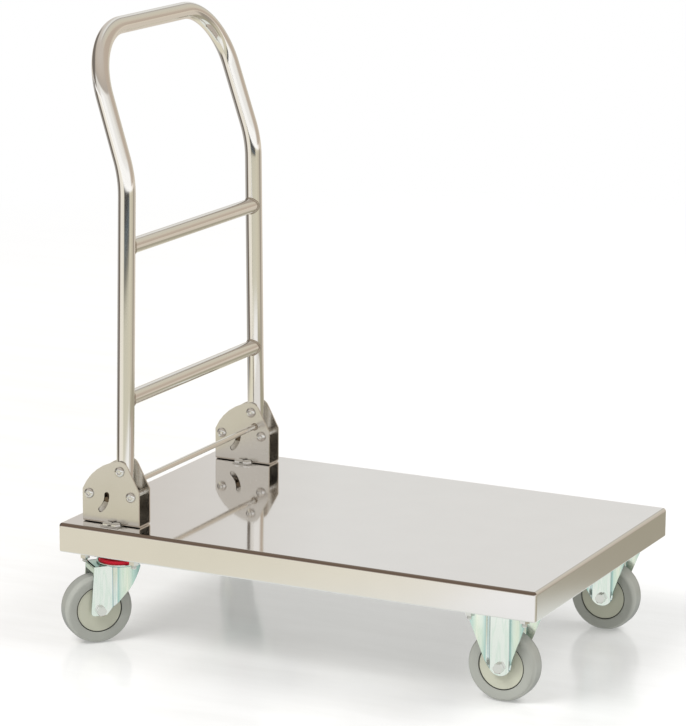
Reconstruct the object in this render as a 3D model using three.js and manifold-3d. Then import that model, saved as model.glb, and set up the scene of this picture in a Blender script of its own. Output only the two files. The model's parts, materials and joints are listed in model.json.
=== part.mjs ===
// Stainless steel platform trolley with a folding handle. Lengths are millimetres.
// The origin is on the floor under the middle of the platform. X runs from the handle end to the
// free end, Y runs across, Z is up. "Near" pieces lie at -Y, "far" pieces at +Y.
import * as THREE from "three";
import { mergeVertices } from "three/addons/utils/BufferGeometryUtils.js";
import Module from "manifold-3d";

const wasm = await Module();
wasm.setup();

// Fits and cutting
const FIT = 0.3; // gap left between two pieces that touch
const OVERRUN = 2; // how far a cutter runs past what it cuts

// Platform: a tray folded from one sheet
const DECK_LENGTH = 740;
const DECK_WIDTH = 484;
const SKIRT_DEPTH = 42.5;
const DECK_SHEET = 1.5;
const EDGE_RADIUS = 5; // rounded fold between the top and the skirt
const CORNER_RADIUS = 6.5; // upright corners of the skirt
const LIP_WIDTH = 15; // return lip folded inwards at the skirt's foot

// Hat channels welded across under the platform
const CHANNEL_SHEET = 2;
const STIFFENER_WIDTH = 50;

// Wheel: a rubber tyre on a plastic hub
const WHEEL_RADIUS = 50;
const TYRE_WIDTH = 32;
const TREAD_WIDTH = 13; // flat middle of the tread
const SHOULDER_DROP = 5; // how much lower the tyre's outer corner is than its tread
const TYRE_FLANK_RECESS = 1.2; // the flank pulls in towards the hub
const HUB_RADIUS = 33;
const HUB_GROOVE = 0.9; // dark groove round the hub, on each face
const HUB_GROOVE_DEPTH = 3;
const HUB_WIDTH = 27;
const BOSS_RADIUS = 10;
const HUB_PLAY = 0.9; // between the hub and each leg

// Axle: a bolt through a spacer sleeve
const AXLE_RADIUS = 4;
const SLEEVE_WALL = 2;
const AXLE_HEAD_FLATS = 13;
const AXLE_HEAD_HEIGHT = 5.3;
const AXLE_NUT_HEIGHT = 7;
const AXLE_TIP = 2; // thread that stands out of the nut

// Pressed forks
const LEG_SHEET = 2.5;
const LEG_CLEARANCE = 1.8; // between the tyre and each leg
const JOGGLE_DEPTH = 4.6; // how far the wings step out from the middle panel
const RIGID_PANEL = 28; // width of the rigid fork's middle panel
const RIGID_JOGGLE = 6;
const RIGID_FLARE_SHARE = 0.3; // outward slope of the rigid fork's wings
const RIGID_FOOT_RADIUS = 17;
const RIGID_FOOT_RISE = 5; // foot arc's centre above the axle
const RIGID_TOP_WIDTH = 92;
const SWIVEL_TRAIL = 36; // axle behind the swivel axis
const SWIVEL_FRONT = 14; // leg's front edge ahead of the axle, at its foot
const SWIVEL_FRONT_LEAN = 5; // how much the front edge leans back by its top
const SWIVEL_PANEL_BACK = 17; // end of the flat panel behind the axle
const SWIVEL_JOGGLE = 9;
const SWIVEL_FLARE_SHARE = 0.12;
const SWIVEL_FOOT_DROP = 8; // leg's foot below the axle
const SWIVEL_FOOT_BACK = 9; // where the slanted rear edge starts, behind the axle
const SWIVEL_KNEE_BACK = 41; // where the rear edge starts to curve up
const SWIVEL_KNEE_RISE = 29;
const SWIVEL_CURVE_BACK = 50;
const SWIVEL_CURVE_RISE = 41;
const SWIVEL_BACK = 57; // rear end of the crown, behind the axle
const SWIVEL_FOOT_FILLET = 5;
const CROWN_FILLET = 12;
const CROWN_LIP = 7; // down-turned front edge of the crown

// Castor heads
const CROWN_GAP = 12; // between the tyre and the crown
const CROWN_SHEET = 3;
const HEAD_STACK = 14.7; // from the crown up to the top plate
const RACE_LAND = 1.6; // raised seat that centres the seal ring on the crown
const RACE_LAND_RADIUS = 23;
const SEAL_RADIUS = 31;
const SEAL_HEIGHT = 7;
const DISH_FOOT_RADIUS = 27;
const DISH_TOP_RADIUS = 32;
const KINGPIN_RADIUS = 5;
const KINGPIN_HEAD_RADIUS = 9;
const KINGPIN_NUT_FLATS = 17;
const KINGPIN_NUT_HEIGHT = 7;
const PLATE_LENGTH = 105;
const PLATE_WIDTH = 80;
const PLATE_SHEET = 3;
const PLATE_CORNER = 8;
const MOUNT_SPACING_LONG = 80;
const MOUNT_SPACING_CROSS = 60;
const MOUNT_BOLT_RADIUS = 4;
const MOUNT_FLATS = 13;
const MOUNT_HEAD_HEIGHT = 5.3;
const MOUNT_NUT_HEIGHT = 6.5;
const MOUNT_TIP = 7;

// Where the castors sit, from the platform's ends and sides to their middles
const REAR_END_INSET = 70;
const REAR_SIDE_INSET = 54;
const FRONT_END_INSET = 68;
const FRONT_SIDE_INSET = 58.5;
const REST_HEADING = THREE.MathUtils.degToRad(48.2); // how far the swivel castors are turned

// Handle: one bent tube and two rungs
const TUBE_RADIUS = 12.5;
const TUBE_WALL = 1.5;
const RUNG_RADIUS = 11;
const RUNG_WALL = 1.2;
const HANDLE_HEIGHT = 885; // top of the handle above the floor
const STILE_INSET = 43; // from the platform's side to the stile's middle
const TOP_INSET = 15; // how far each stile leans in by the top corners
const TAIL_LENGTH = 40; // stile below the pivot
const LEAN_BACK = 65; // how far back the top stands
const LOWER_RUNG_SHARE = 0.1636; // shares of the height from the pivot to the top tube's middle
const UPPER_RUNG_SHARE = 0.517;
const LEAN_SHARE = 0.678;
const LEAN_BEND_RADIUS = 165;
const CORNER_BEND_RADIUS = 95;

// Hinge brackets: a U folded from sheet, measured from its back edge and its underside
const BRACKET_INSET = 25.3; // from the platform's handle end
const BRACKET_LENGTH = 92;
const BRACKET_SHEET = 2.5;
const BRACKET_BEND = 3.6; // outer radius of the fold
const BRACKET_BACK_HEIGHT = 48;
const BRACKET_FRONT_HEIGHT = 52;
const BACK_ARC_RADIUS = 78;
const NOSE_RADIUS = 14.8;
const NOSE_BACK = 0.4; // nose arc's centre behind the pivot
const TUBE_PLAY = 1.3; // between the tube and each plate
const PIVOT_ALONG = 61.1;
const PIVOT_RISE = 79;
const EAR_ALONG = 51.4; // middle of the ears that the deck bolts hold down
const EAR_LENGTH = 29;
const EAR_WIDTH = 15.5;
const EAR_SHEET = 1.2;
const DECK_BOLT_PITCH = 14;
const DECK_BOLT_RADIUS = 3;
const DECK_HEAD_HEIGHT = 3.2;
const DECK_NUT_HEIGHT = 5;
const DECK_BOLT_TIP = 2;
const HINGE_BOLT_RADIUS = 3;
const HINGE_HEAD_RADIUS = 7.4;
const HINGE_HEAD_HEIGHT = 4.2;
const HINGE_SOCKET_FLATS = 5;
const HINGE_SOCKET_DEPTH = 2.4;

// Stop: a sleeve in front of each stile that holds the handle upright
const STOP_AHEAD = 17.6; // from the pivot
const STOP_RISE = 43.5;

// Latch: a lever on the rear bolt, with a stud that runs in an arc slot
const LATCH_ALONG = 10.9;
const LATCH_RISE = 42;
const LATCH_REACH = 28.8;
const LATCH_HUB_RADIUS = 8.5;
const LATCH_NOSE_RADIUS = 6;
const LATCH_WIDTH = 20;
const STUD_RADIUS = 3.7;
const LATCH_REST = THREE.MathUtils.degToRad(-12);
const SLOT_TOP = THREE.MathUtils.degToRad(2);
const SLOT_FOOT = THREE.MathUtils.degToRad(-50);

// Tie rod between the two brackets' inner plates
const TIE_RADIUS = 4;
const TIE_ALONG = 67;
const TIE_RISE = 57.5;

// Mesh fineness
const WHEEL_SIDES = 24;
const HUB_SIDES = 16;
const TUBE_SIDES = 14;
const ROUND_SIDES = 10;
const SMALL_SIDES = 6;
const HEX = 6;
const BEND_STEP = THREE.MathUtils.degToRad(15);
const ARC_STEPS = 6;
const FILLET_STEPS = 2;

// Heights and places that follow from the sizes above
const CROWN_FOOT = 2 * WHEEL_RADIUS + CROWN_GAP;
const CROWN_TOP = CROWN_FOOT + CROWN_SHEET;
const PLATE_FOOT = CROWN_TOP + HEAD_STACK;
const CASTOR_TOP = PLATE_FOOT + PLATE_SHEET;
const DECK_BASE = CASTOR_TOP + FIT;
const DECK_TOP = DECK_BASE + SKIRT_DEPTH;
const CHANNEL_FLANGE = DECK_SHEET + LIP_WIDTH - EDGE_RADIUS;
const LEG_INNER = TYRE_WIDTH / 2 + LEG_CLEARANCE;
const LEG_OUTER = LEG_INNER + LEG_SHEET;
const SLEEVE_RADIUS = AXLE_RADIUS + FIT + SLEEVE_WALL;
const BRACKET_GAP = 2 * (TUBE_RADIUS + TUBE_PLAY);
const BRACKET_WIDTH = BRACKET_GAP + 2 * BRACKET_SHEET;
const BRACKET_X = BRACKET_INSET - DECK_LENGTH / 2;
const BRACKET_Z = DECK_TOP + FIT;
const STILE_Y = DECK_WIDTH / 2 - STILE_INSET;
const TOP_RISE = HANDLE_HEIGHT - TUBE_RADIUS - BRACKET_Z - PIVOT_RISE;
const STOP_SLEEVE_RADIUS = STOP_AHEAD - TUBE_RADIUS - FIT;
const REAR_X = REAR_END_INSET - DECK_LENGTH / 2;
const REAR_Y = DECK_WIDTH / 2 - REAR_SIDE_INSET;
const FRONT_X = DECK_LENGTH / 2 - FRONT_END_INSET;
const FRONT_Y = DECK_WIDTH / 2 - FRONT_SIDE_INSET;

const QUARTER = Math.PI / 2;

// Materials
const finish = (color, roughness, metalness) =>
  new THREE.MeshStandardMaterial({ color, roughness, metalness });
const MIRROR_STEEL = finish(0xd9d7da, 0.12, 1);
const SATIN_STEEL = finish(0xbeb6a5, 0.35, 1);
const POLISHED_TUBE = finish(0xc9c6be, 0.15, 1);
const CHANNEL_STEEL = finish(0xa8a59c, 0.5, 1);
const ZINC = finish(0xc4d2d0, 0.3, 1);
const BOLT_STEEL = finish(0xd6d6d2, 0.25, 1);
const RUBBER = finish(0x969896, 0.7, 0);
const HUB_PLASTIC = finish(0xb4b09b, 0.55, 0);
const SEAL_RED = finish(0xd2141e, 0.4, 0);

// Solids: geometry in, geometry out, with joins and cuts in between
function solid(geometry) {
  const bare = geometry.index ? geometry.toNonIndexed() : geometry.clone();
  const skin = new THREE.BufferGeometry();
  skin.setAttribute("position", bare.getAttribute("position"));
  const merged = mergeVertices(skin, FIT / 1000);
  return new wasm.Manifold(
    new wasm.Mesh({
      numProp: 3,
      vertProperties: merged.attributes.position.array,
      triVerts: new Uint32Array(merged.index.array),
    }),
  );
}

function geometryOf(made) {
  const mesh = made.getMesh();
  const points = new Float32Array(mesh.numVert * 3);
  for (let i = 0; i < mesh.numVert; i++) {
    points.set(mesh.vertProperties.subarray(i * mesh.numProp, i * mesh.numProp + 3), i * 3);
  }
  const geometry = new THREE.BufferGeometry();
  geometry.setAttribute("position", new THREE.BufferAttribute(points, 3));
  geometry.setIndex(new THREE.BufferAttribute(new Uint32Array(mesh.triVerts), 1));
  geometry.computeVertexNormals();
  return geometry;
}

const join = (first, ...rest) => rest.reduce((sum, each) => sum.add(solid(each)), solid(first));
const joined = (...pieces) => geometryOf(join(...pieces));
const cut = (body, ...tools) => {
  const whole = body instanceof THREE.BufferGeometry ? solid(body) : body;
  return geometryOf(tools.reduce((left, tool) => left.subtract(solid(tool)), whole));
};
const common = (first, second) => geometryOf(solid(first).intersect(solid(second)));

// Basic forms
const at = (geometry, x, y, z) => geometry.translate(x, y, z);
const shapeOf = (points) => new THREE.Shape(points);

// A flat outline pushed up from z = 0.
const slab = (shape, height) =>
  new THREE.ExtrudeGeometry(shape, { depth: height, bevelEnabled: false });

// An outline drawn in x and z, pushed across so that its middle is at y = 0.
const across = (shape, width) => slab(shape, width).rotateX(QUARTER).translate(0, width / 2, 0);

// An outline drawn in y and z, pushed along x from x = 0.
const along = (shape, length) => slab(shape, length).rotateX(QUARTER).rotateZ(QUARTER);

const rod = (radius, length, sides) =>
  new THREE.CylinderGeometry(radius, radius, length, sides).rotateX(QUARTER);
const rodAcross = (radius, length, sides) => new THREE.CylinderGeometry(radius, radius, length, sides);
const hexAcross = (flats, length) =>
  new THREE.CylinderGeometry(flats / Math.sqrt(3), flats / Math.sqrt(3), length, HEX);
const hexUp = (flats, length) => hexAcross(flats, length).rotateX(QUARTER);

// A round body about Z from a profile of [radius, z] that starts and ends on the axis.
function turned(profile, sides) {
  const points = profile.map(([radius, z]) => new THREE.Vector2(radius, z));
  if (THREE.ShapeUtils.area(points) < 0) points.reverse();
  return new THREE.LatheGeometry(points, sides).rotateX(QUARTER);
}

// A round ring about Z from a closed profile of [radius, z].
const turnedRing = (profile, sides) => turned([...profile, profile[0]], sides);

// Points of an outline whose corners, given as [x, y, radius], are rounded.
function rounded(corners) {
  const points = [];
  corners.forEach(([x, y, radius], i) => {
    const here = new THREE.Vector2(x, y);
    if (!radius) {
      points.push(here);
      return;
    }
    const before = corners.at(i - 1);
    const after = corners[(i + 1) % corners.length];
    const back = new THREE.Vector2(before[0], before[1]).sub(here).normalize();
    const ahead = new THREE.Vector2(after[0], after[1]).sub(here).normalize();
    const half = Math.acos(THREE.MathUtils.clamp(back.dot(ahead), -1, 1)) / 2;
    const centre = back.clone().add(ahead).normalize().multiplyScalar(radius / Math.sin(half)).add(here);
    const start = back.clone().multiplyScalar(radius / Math.tan(half)).add(here).sub(centre);
    const sweep = Math.sign(back.cross(ahead)) * -(Math.PI - 2 * half);
    for (let k = 0; k <= FILLET_STEPS; k++) {
      const turn = (sweep * k) / FILLET_STEPS;
      points.push(start.clone().rotateAround(new THREE.Vector2(), turn).add(centre));
    }
  });
  return points;
}

const rectangle = (length, width, radius) =>
  rounded([
    [-length / 2, -width / 2, radius],
    [length / 2, -width / 2, radius],
    [length / 2, width / 2, radius],
    [-length / 2, width / 2, radius],
  ]);

// A closed skin through rings of equal count, each a list of points at its own height.
function lofted(rings) {
  const count = rings[0].length;
  const points = rings.flat().flatMap((p) => [p.x, p.y, p.z]);
  const faces = [];
  for (let r = 0; r + 1 < rings.length; r++) {
    for (let i = 0; i < count; i++) {
      const a = r * count + i;
      const b = r * count + ((i + 1) % count);
      faces.push(a, b, b + count, a, b + count, a + count);
    }
  }
  const flat = rings[0].map((p) => new THREE.Vector2(p.x, p.y));
  const last = (rings.length - 1) * count;
  for (const [a, b, c] of THREE.ShapeUtils.triangulateShape(flat, [])) {
    faces.push(c, b, a, last + a, last + b, last + c);
  }
  const geometry = new THREE.BufferGeometry();
  geometry.setAttribute("position", new THREE.Float32BufferAttribute(points, 3));
  geometry.setIndex(faces);
  return geometry;
}

// A strip of sheet of even thickness that follows a line of points.
function strip(line, thickness) {
  const side = (sign) =>
    line.map((point, i) => {
      const run = line[Math.min(i + 1, line.length - 1)].clone().sub(line[Math.max(i - 1, 0)]);
      return new THREE.Vector2(-run.y, run.x).setLength((sign * thickness) / 2).add(point);
    });
  return [...side(-1), ...side(1).reverse()];
}

// A path of straight runs and round bends, read at stations: two per straight run, more per bend.
class BentPath extends THREE.Curve {
  constructor(corners) {
    super();
    this.stations = [];
    corners.forEach(([point, radius], i) => {
      const before = corners[Math.max(i - 1, 0)][0];
      const after = corners[Math.min(i + 1, corners.length - 1)][0];
      if (!radius) {
        this.stations.push([point, after.clone().sub(before).normalize()]);
        return;
      }
      const into = point.clone().sub(before).normalize();
      const out = after.clone().sub(point).normalize();
      const turn = into.angleTo(out);
      const inward = out.clone().addScaledVector(into, -Math.cos(turn)).normalize();
      const start = point.clone().addScaledVector(into, -radius * Math.tan(turn / 2));
      const centre = start.clone().addScaledVector(inward, radius);
      const steps = Math.ceil(turn / BEND_STEP);
      for (let k = 0; k <= steps; k++) {
        const angle = (turn * k) / steps;
        const place = centre
          .clone()
          .addScaledVector(inward, -radius * Math.cos(angle))
          .addScaledVector(into, radius * Math.sin(angle));
        const heading = into.clone().multiplyScalar(Math.cos(angle));
        this.stations.push([place, heading.addScaledVector(inward, Math.sin(angle))]);
      }
    });
  }
  station(share) {
    return this.stations[Math.round(share * (this.stations.length - 1))];
  }
  getPointAt(share) {
    return this.station(share)[0].clone();
  }
  getTangentAt(share) {
    return this.station(share)[1].clone();
  }
}

function pipe(path, radius, wall) {
  const section = new THREE.Shape().absarc(0, 0, radius, 0, 2 * Math.PI);
  section.holes.push(new THREE.Path().absarc(0, 0, radius - wall, 0, 2 * Math.PI, true));
  return new THREE.ExtrudeGeometry(section, {
    extrudePath: path,
    steps: path.stations.length - 1,
    curveSegments: TUBE_SIDES / 2,
  });
}

// Where two circles meet, on the right-hand side of the line from the first centre to the second.
function circlesMeet(first, firstRadius, second, secondRadius) {
  const gap = first.distanceTo(second);
  const run = (gap * gap + firstRadius * firstRadius - secondRadius * secondRadius) / (2 * gap);
  const rise = Math.sqrt(firstRadius * firstRadius - run * run);
  const ahead = second.clone().sub(first).normalize();
  const right = new THREE.Vector2(ahead.y, -ahead.x);
  return first.clone().addScaledVector(ahead, run).addScaledVector(right, rise);
}

// Angle, at a circle's centre, of the point where a line from an outside point touches the circle.
function touchAngle(centre, radius, outside, side) {
  const reach = outside.clone().sub(centre);
  return Math.atan2(reach.y, reach.x) + side * Math.acos(radius / reach.length());
}

const onCircle = (centre, radius, angle) =>
  new THREE.Vector2(centre.x + radius * Math.cos(angle), centre.y + radius * Math.sin(angle));

function arcPoints(centre, radius, from, to, steps) {
  return Array.from({ length: steps + 1 }, (_, k) =>
    onCircle(centre, radius, from + ((to - from) * k) / steps),
  );
}

// The object as a scene graph
const trolley = new THREE.Group();

function add(parent, name, geometry, material) {
  const mesh = new THREE.Mesh(geometry, material);
  mesh.name = name;
  parent.add(mesh);
  return mesh;
}

function groupAt(parent, x, y, z, turn = 0) {
  const group = new THREE.Group();
  group.position.set(x, y, z);
  group.rotation.z = turn;
  parent.add(group);
  return group;
}

// Deck bolts of one hinge bracket: two on each side of it, from its back edge and its middle
const deckBoltPlaces = [-1, 1].flatMap((side) =>
  [-1, 1].map((end) => [
    EAR_ALONG + (end * DECK_BOLT_PITCH) / 2,
    (side * (BRACKET_WIDTH + EAR_WIDTH)) / 2,
  ]),
);

// Platform tray: rounded top edge, skirt and return lip
function trayRing(inset, z) {
  const radius = Math.max(CORNER_RADIUS - inset, FIT);
  const outline = rectangle(DECK_LENGTH - 2 * inset, DECK_WIDTH - 2 * inset, radius);
  return outline.map((p) => new THREE.Vector3(p.x, p.y, z));
}

function trayBody(inset, foot) {
  const top = DECK_TOP - inset;
  const fold = EDGE_RADIUS - inset;
  const rings = [trayRing(inset, foot)];
  for (let k = 0; k <= FILLET_STEPS; k++) {
    const angle = (QUARTER * k) / FILLET_STEPS;
    const pull = fold * (1 - Math.cos(angle));
    rings.push(trayRing(inset + pull, top - fold + fold * Math.sin(angle)));
  }
  return lofted(rings);
}

function deckTray() {
  const mouth = DECK_SHEET + LIP_WIDTH;
  const opening = lofted([
    trayRing(mouth, DECK_BASE - OVERRUN),
    trayRing(mouth, DECK_BASE + DECK_SHEET + OVERRUN),
  ]);
  const drills = [-1, 1].flatMap((side) =>
    deckBoltPlaces.map(([x, y]) => {
      const drill = rod(DECK_BOLT_RADIUS + FIT, 2 * OVERRUN + DECK_SHEET, SMALL_SIDES);
      return at(drill, BRACKET_X + x, side * STILE_Y + y, DECK_TOP);
    }),
  );
  return cut(trayBody(0, DECK_BASE), trayBody(DECK_SHEET, DECK_BASE + DECK_SHEET), opening, ...drills);
}

// Hat channel across the platform, open side up, with bolt holes where castors hang from it
function channel(width, holes) {
  const height = SKIRT_DEPTH - DECK_SHEET - FIT;
  const half = width / 2;
  const inner = half - CHANNEL_SHEET;
  const rim = half + CHANNEL_FLANGE;
  const section = shapeOf([
    new THREE.Vector2(-half, 0),
    new THREE.Vector2(half, 0),
    new THREE.Vector2(half, height - CHANNEL_SHEET),
    new THREE.Vector2(rim, height - CHANNEL_SHEET),
    new THREE.Vector2(rim, height),
    new THREE.Vector2(inner, height),
    new THREE.Vector2(inner, CHANNEL_SHEET),
    new THREE.Vector2(-inner, CHANNEL_SHEET),
    new THREE.Vector2(-inner, height),
    new THREE.Vector2(-rim, height),
    new THREE.Vector2(-rim, height - CHANNEL_SHEET),
    new THREE.Vector2(-half, height - CHANNEL_SHEET),
  ]);
  const length = DECK_WIDTH - 2 * (DECK_SHEET + LIP_WIDTH + FIT);
  const drills = holes.map(([x, y]) =>
    at(rod(MOUNT_BOLT_RADIUS + FIT, CHANNEL_SHEET + 2 * OVERRUN, SMALL_SIDES), x, y, CHANNEL_SHEET / 2),
  );
  return cut(across(section, length), ...drills);
}

const mountPlaces = (middleX, middleY) =>
  [-1, 1].flatMap((i) =>
    [-1, 1].map((j) => [
      middleX + (i * MOUNT_SPACING_LONG) / 2,
      middleY + (j * MOUNT_SPACING_CROSS) / 2,
    ]),
  );

// A castor channel reaches the return lip at its end of the platform, and as far the other way.
function castorChannel(endInset, sideInset) {
  const width = 2 * (endInset - DECK_SHEET - LIP_WIDTH - FIT);
  const y = DECK_WIDTH / 2 - sideInset;
  return channel(width, [...mountPlaces(0, -y), ...mountPlaces(0, y)]);
}

function platform() {
  add(trolley, "deck_tray", deckTray(), MIRROR_STEEL);
  const rear = groupAt(trolley, REAR_X, 0, DECK_BASE);
  add(rear, "castor_channel_rear", castorChannel(REAR_END_INSET, REAR_SIDE_INSET), CHANNEL_STEEL);
  const front = groupAt(trolley, FRONT_X, 0, DECK_BASE);
  add(front, "castor_channel_front", castorChannel(FRONT_END_INSET, FRONT_SIDE_INSET), CHANNEL_STEEL);
  const middle = groupAt(trolley, (REAR_X + FRONT_X) / 2, 0, DECK_BASE);
  add(middle, "middle_stiffener", channel(STIFFENER_WIDTH, []), CHANNEL_STEEL);
}

// Wheel, about the axle along Y at the origin
function tyre() {
  const half = TYRE_WIDTH / 2;
  const tread = TREAD_WIDTH / 2;
  const corner = WHEEL_RADIUS - SHOULDER_DROP;
  const bore = HUB_RADIUS + FIT;
  const groove = bore + HUB_GROOVE;
  const flank = HUB_WIDTH / 2 + TYRE_FLANK_RECESS;
  const shoulder = (k) => {
    const angle = (QUARTER * k) / FILLET_STEPS;
    return [corner + SHOULDER_DROP * Math.cos(angle), tread + (half - tread) * Math.sin(angle)];
  };
  const edge = Array.from({ length: FILLET_STEPS + 1 }, (_, k) => shoulder(k));
  const upper = [...edge, [(corner + groove) / 2, half], [groove, flank], [groove, flank - HUB_GROOVE_DEPTH]];
  const side = [...upper, [bore, flank - HUB_GROOVE_DEPTH]];
  const mirrored = side.map(([radius, y]) => [radius, -y]).reverse();
  return turnedRing([...side, ...mirrored], WHEEL_SIDES).rotateX(QUARTER);
}

function hub() {
  const half = HUB_WIDTH / 2;
  const boss = LEG_INNER - HUB_PLAY;
  const bore = SLEEVE_RADIUS + FIT;
  const rim = HUB_RADIUS - HUB_GROOVE;
  const side = [
    [HUB_RADIUS, half - HUB_GROOVE],
    [rim, half],
    [BOSS_RADIUS + HUB_GROOVE, half],
    [BOSS_RADIUS, boss],
    [bore, boss],
  ];
  const mirrored = side.map(([radius, y]) => [radius, -y]).reverse();
  return turnedRing([...side, ...mirrored], HUB_SIDES).rotateX(QUARTER);
}

function axleSleeve() {
  const half = LEG_INNER - FIT;
  const bore = AXLE_RADIUS + FIT;
  return turnedRing(
    [
      [bore, -half],
      [SLEEVE_RADIUS, -half],
      [SLEEVE_RADIUS, half],
      [bore, half],
    ],
    ROUND_SIDES,
  ).rotateX(QUARTER);
}

function axleBolt() {
  const seat = LEG_OUTER + FIT;
  const tip = seat + AXLE_NUT_HEIGHT + AXLE_TIP;
  const shank = at(rodAcross(AXLE_RADIUS, seat + tip, ROUND_SIDES), 0, (tip - seat) / 2, 0);
  const head = at(hexAcross(AXLE_HEAD_FLATS, AXLE_HEAD_HEIGHT), 0, -seat - AXLE_HEAD_HEIGHT / 2, 0);
  return joined(shank, head);
}

function axleNut() {
  const middle = LEG_OUTER + FIT + AXLE_NUT_HEIGHT / 2;
  const bore = rodAcross(AXLE_RADIUS + FIT, AXLE_NUT_HEIGHT + 2 * OVERRUN, ROUND_SIDES);
  return at(cut(hexAcross(AXLE_HEAD_FLATS, AXLE_NUT_HEIGHT), bore), 0, middle, 0);
}

// Puts a wheel with its axle pieces in a castor, and names them for it.
function wheel(castor, x, name) {
  const axle = groupAt(castor, x, 0, WHEEL_RADIUS);
  add(axle, `tyre_${name}`, tyre(), RUBBER);
  add(axle, `hub_${name}`, hub(), HUB_PLASTIC);
  add(axle, `axle_sleeve_${name}`, axleSleeve(), BOLT_STEEL);
  add(axle, `axle_bolt_${name}`, axleBolt(), BOLT_STEEL);
  add(axle, `axle_nut_${name}`, axleNut(), BOLT_STEEL);
}

// Wing of a pressed leg: how far it stands out of the panel, at a distance from the panel's edge
function wingOut(distance, joggle, flareShare) {
  if (distance <= 0) return 0;
  const stepped = Math.min(distance / joggle, 1);
  return (JOGGLE_DEPTH * (1 - Math.cos(Math.PI * stepped))) / 2 + flareShare * distance;
}

const joggleStops = (start, joggle) =>
  Array.from({ length: FILLET_STEPS + 1 }, (_, k) => start + (joggle * k) / FILLET_STEPS);

// Two legs of pressed sheet: their plan comes from one line of [x, out], their outline from a shape.
function forkLegs(plan, outline, foot, top) {
  const reach = LEG_OUTER + 2 * PLATE_WIDTH;
  const trim = across(shapeOf(outline), reach);
  return [-1, 1].map((side) => {
    const line = plan.map(([x, out]) => new THREE.Vector2(x, side * (LEG_INNER + LEG_SHEET / 2 + out)));
    const ribbon = strip(line, LEG_SHEET);
    const sheet = at(slab(shapeOf(side < 0 ? ribbon : ribbon.reverse()), top - foot), 0, 0, foot);
    return common(sheet, trim);
  });
}

// Rigid fork: two legs under a top plate, with the axle at x = 0
function rigidFork() {
  const panel = RIGID_PANEL / 2;
  const edge = RIGID_TOP_WIDTH / 2;
  const foot = new THREE.Vector2(0, WHEEL_RADIUS + RIGID_FOOT_RISE);
  const low = foot.y - RIGID_FOOT_RADIUS;
  const top = PLATE_FOOT + PLATE_SHEET / 2;
  const corner = new THREE.Vector2(edge, top);
  const touch = touchAngle(foot, RIGID_FOOT_RADIUS, corner, -1);
  const arc = arcPoints(foot, RIGID_FOOT_RADIUS, touch, -Math.PI - touch, ARC_STEPS).reverse();
  const outline = [...arc, corner, new THREE.Vector2(-edge, top)];
  const stops = [...joggleStops(panel, RIGID_JOGGLE), edge];
  const right = stops.map((x) => [x, wingOut(x - panel, RIGID_JOGGLE, RIGID_FLARE_SHARE)]);
  const left = right.map(([x, out]) => [-x, out]).reverse();
  const legs = forkLegs([...left, ...right], outline, low - OVERRUN, top + OVERRUN);
  const drill = at(rodAcross(AXLE_RADIUS + FIT, 2 * (LEG_OUTER + OVERRUN), ROUND_SIDES), 0, 0, WHEEL_RADIUS);
  return cut(join(topPlate(0), ...legs), drill);
}

// Swivel fork: the axle trails the swivel axis, which is at x = 0
function swivelFork() {
  const axle = -SWIVEL_TRAIL;
  const foot = WHEEL_RADIUS - SWIVEL_FOOT_DROP;
  const top = CROWN_TOP;
  const front = axle - SWIVEL_FRONT;
  const crownFront = front + SWIVEL_FRONT_LEAN;
  const back = axle + SWIVEL_BACK;
  const knee = new THREE.Vector2(axle + SWIVEL_KNEE_BACK, WHEEL_RADIUS + SWIVEL_KNEE_RISE);
  const bow = new THREE.Vector2(axle + SWIVEL_CURVE_BACK, WHEEL_RADIUS + SWIVEL_CURVE_RISE);
  const rear = new THREE.QuadraticBezierCurve(knee, bow, new THREE.Vector2(back, CROWN_FOOT));
  const outline = [
    new THREE.Vector2(crownFront, top),
    ...rounded([
      [crownFront, top, 0],
      [front, foot, SWIVEL_FOOT_FILLET],
      [axle + SWIVEL_FOOT_BACK, foot, SWIVEL_FOOT_FILLET],
      [knee.x, knee.y, 0],
    ]).slice(1, -1),
    ...rear.getPoints(FILLET_STEPS),
    new THREE.Vector2(back, top),
  ];
  const bend = axle + SWIVEL_PANEL_BACK;
  const stops = [front, ...joggleStops(bend, SWIVEL_JOGGLE), back];
  const plan = stops.map((x) => [x, wingOut(x - bend, SWIVEL_JOGGLE, SWIVEL_FLARE_SHARE)]);
  const legs = forkLegs(plan, outline, foot - OVERRUN, top + OVERRUN);
  const rim = plan.slice(1).map(([x, out]) => [x, LEG_OUTER + out - FIT / 2, 0]);
  rim.at(-1)[2] = CROWN_FILLET;
  const edge = [[crownFront, LEG_OUTER - FIT / 2, 0], ...rim];
  const mirror = edge.map(([x, y, radius]) => [x, -y, radius]);
  const crown = at(slab(shapeOf(rounded([...mirror, ...edge.reverse()])), CROWN_SHEET), 0, 0, CROWN_FOOT);
  const land = rod(RACE_LAND_RADIUS, CROWN_SHEET + RACE_LAND, HUB_SIDES);
  at(land, 0, 0, CROWN_TOP + (RACE_LAND - CROWN_SHEET) / 2);
  const lip = new THREE.BoxGeometry(LEG_SHEET, LEG_INNER + LEG_OUTER, CROWN_LIP + CROWN_SHEET);
  at(lip, crownFront + LEG_SHEET / 2, 0, CROWN_TOP - (CROWN_LIP + CROWN_SHEET) / 2);
  const axleDrill = at(rodAcross(AXLE_RADIUS + FIT, 2 * (LEG_OUTER + OVERRUN), ROUND_SIDES), axle, 0, WHEEL_RADIUS);
  const pinDrill = at(rod(KINGPIN_RADIUS + FIT, 2 * (CROWN_SHEET + OVERRUN), ROUND_SIDES), 0, 0, CROWN_TOP);
  return cut(join(crown, land, lip, ...legs), axleDrill, pinDrill);
}

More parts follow.
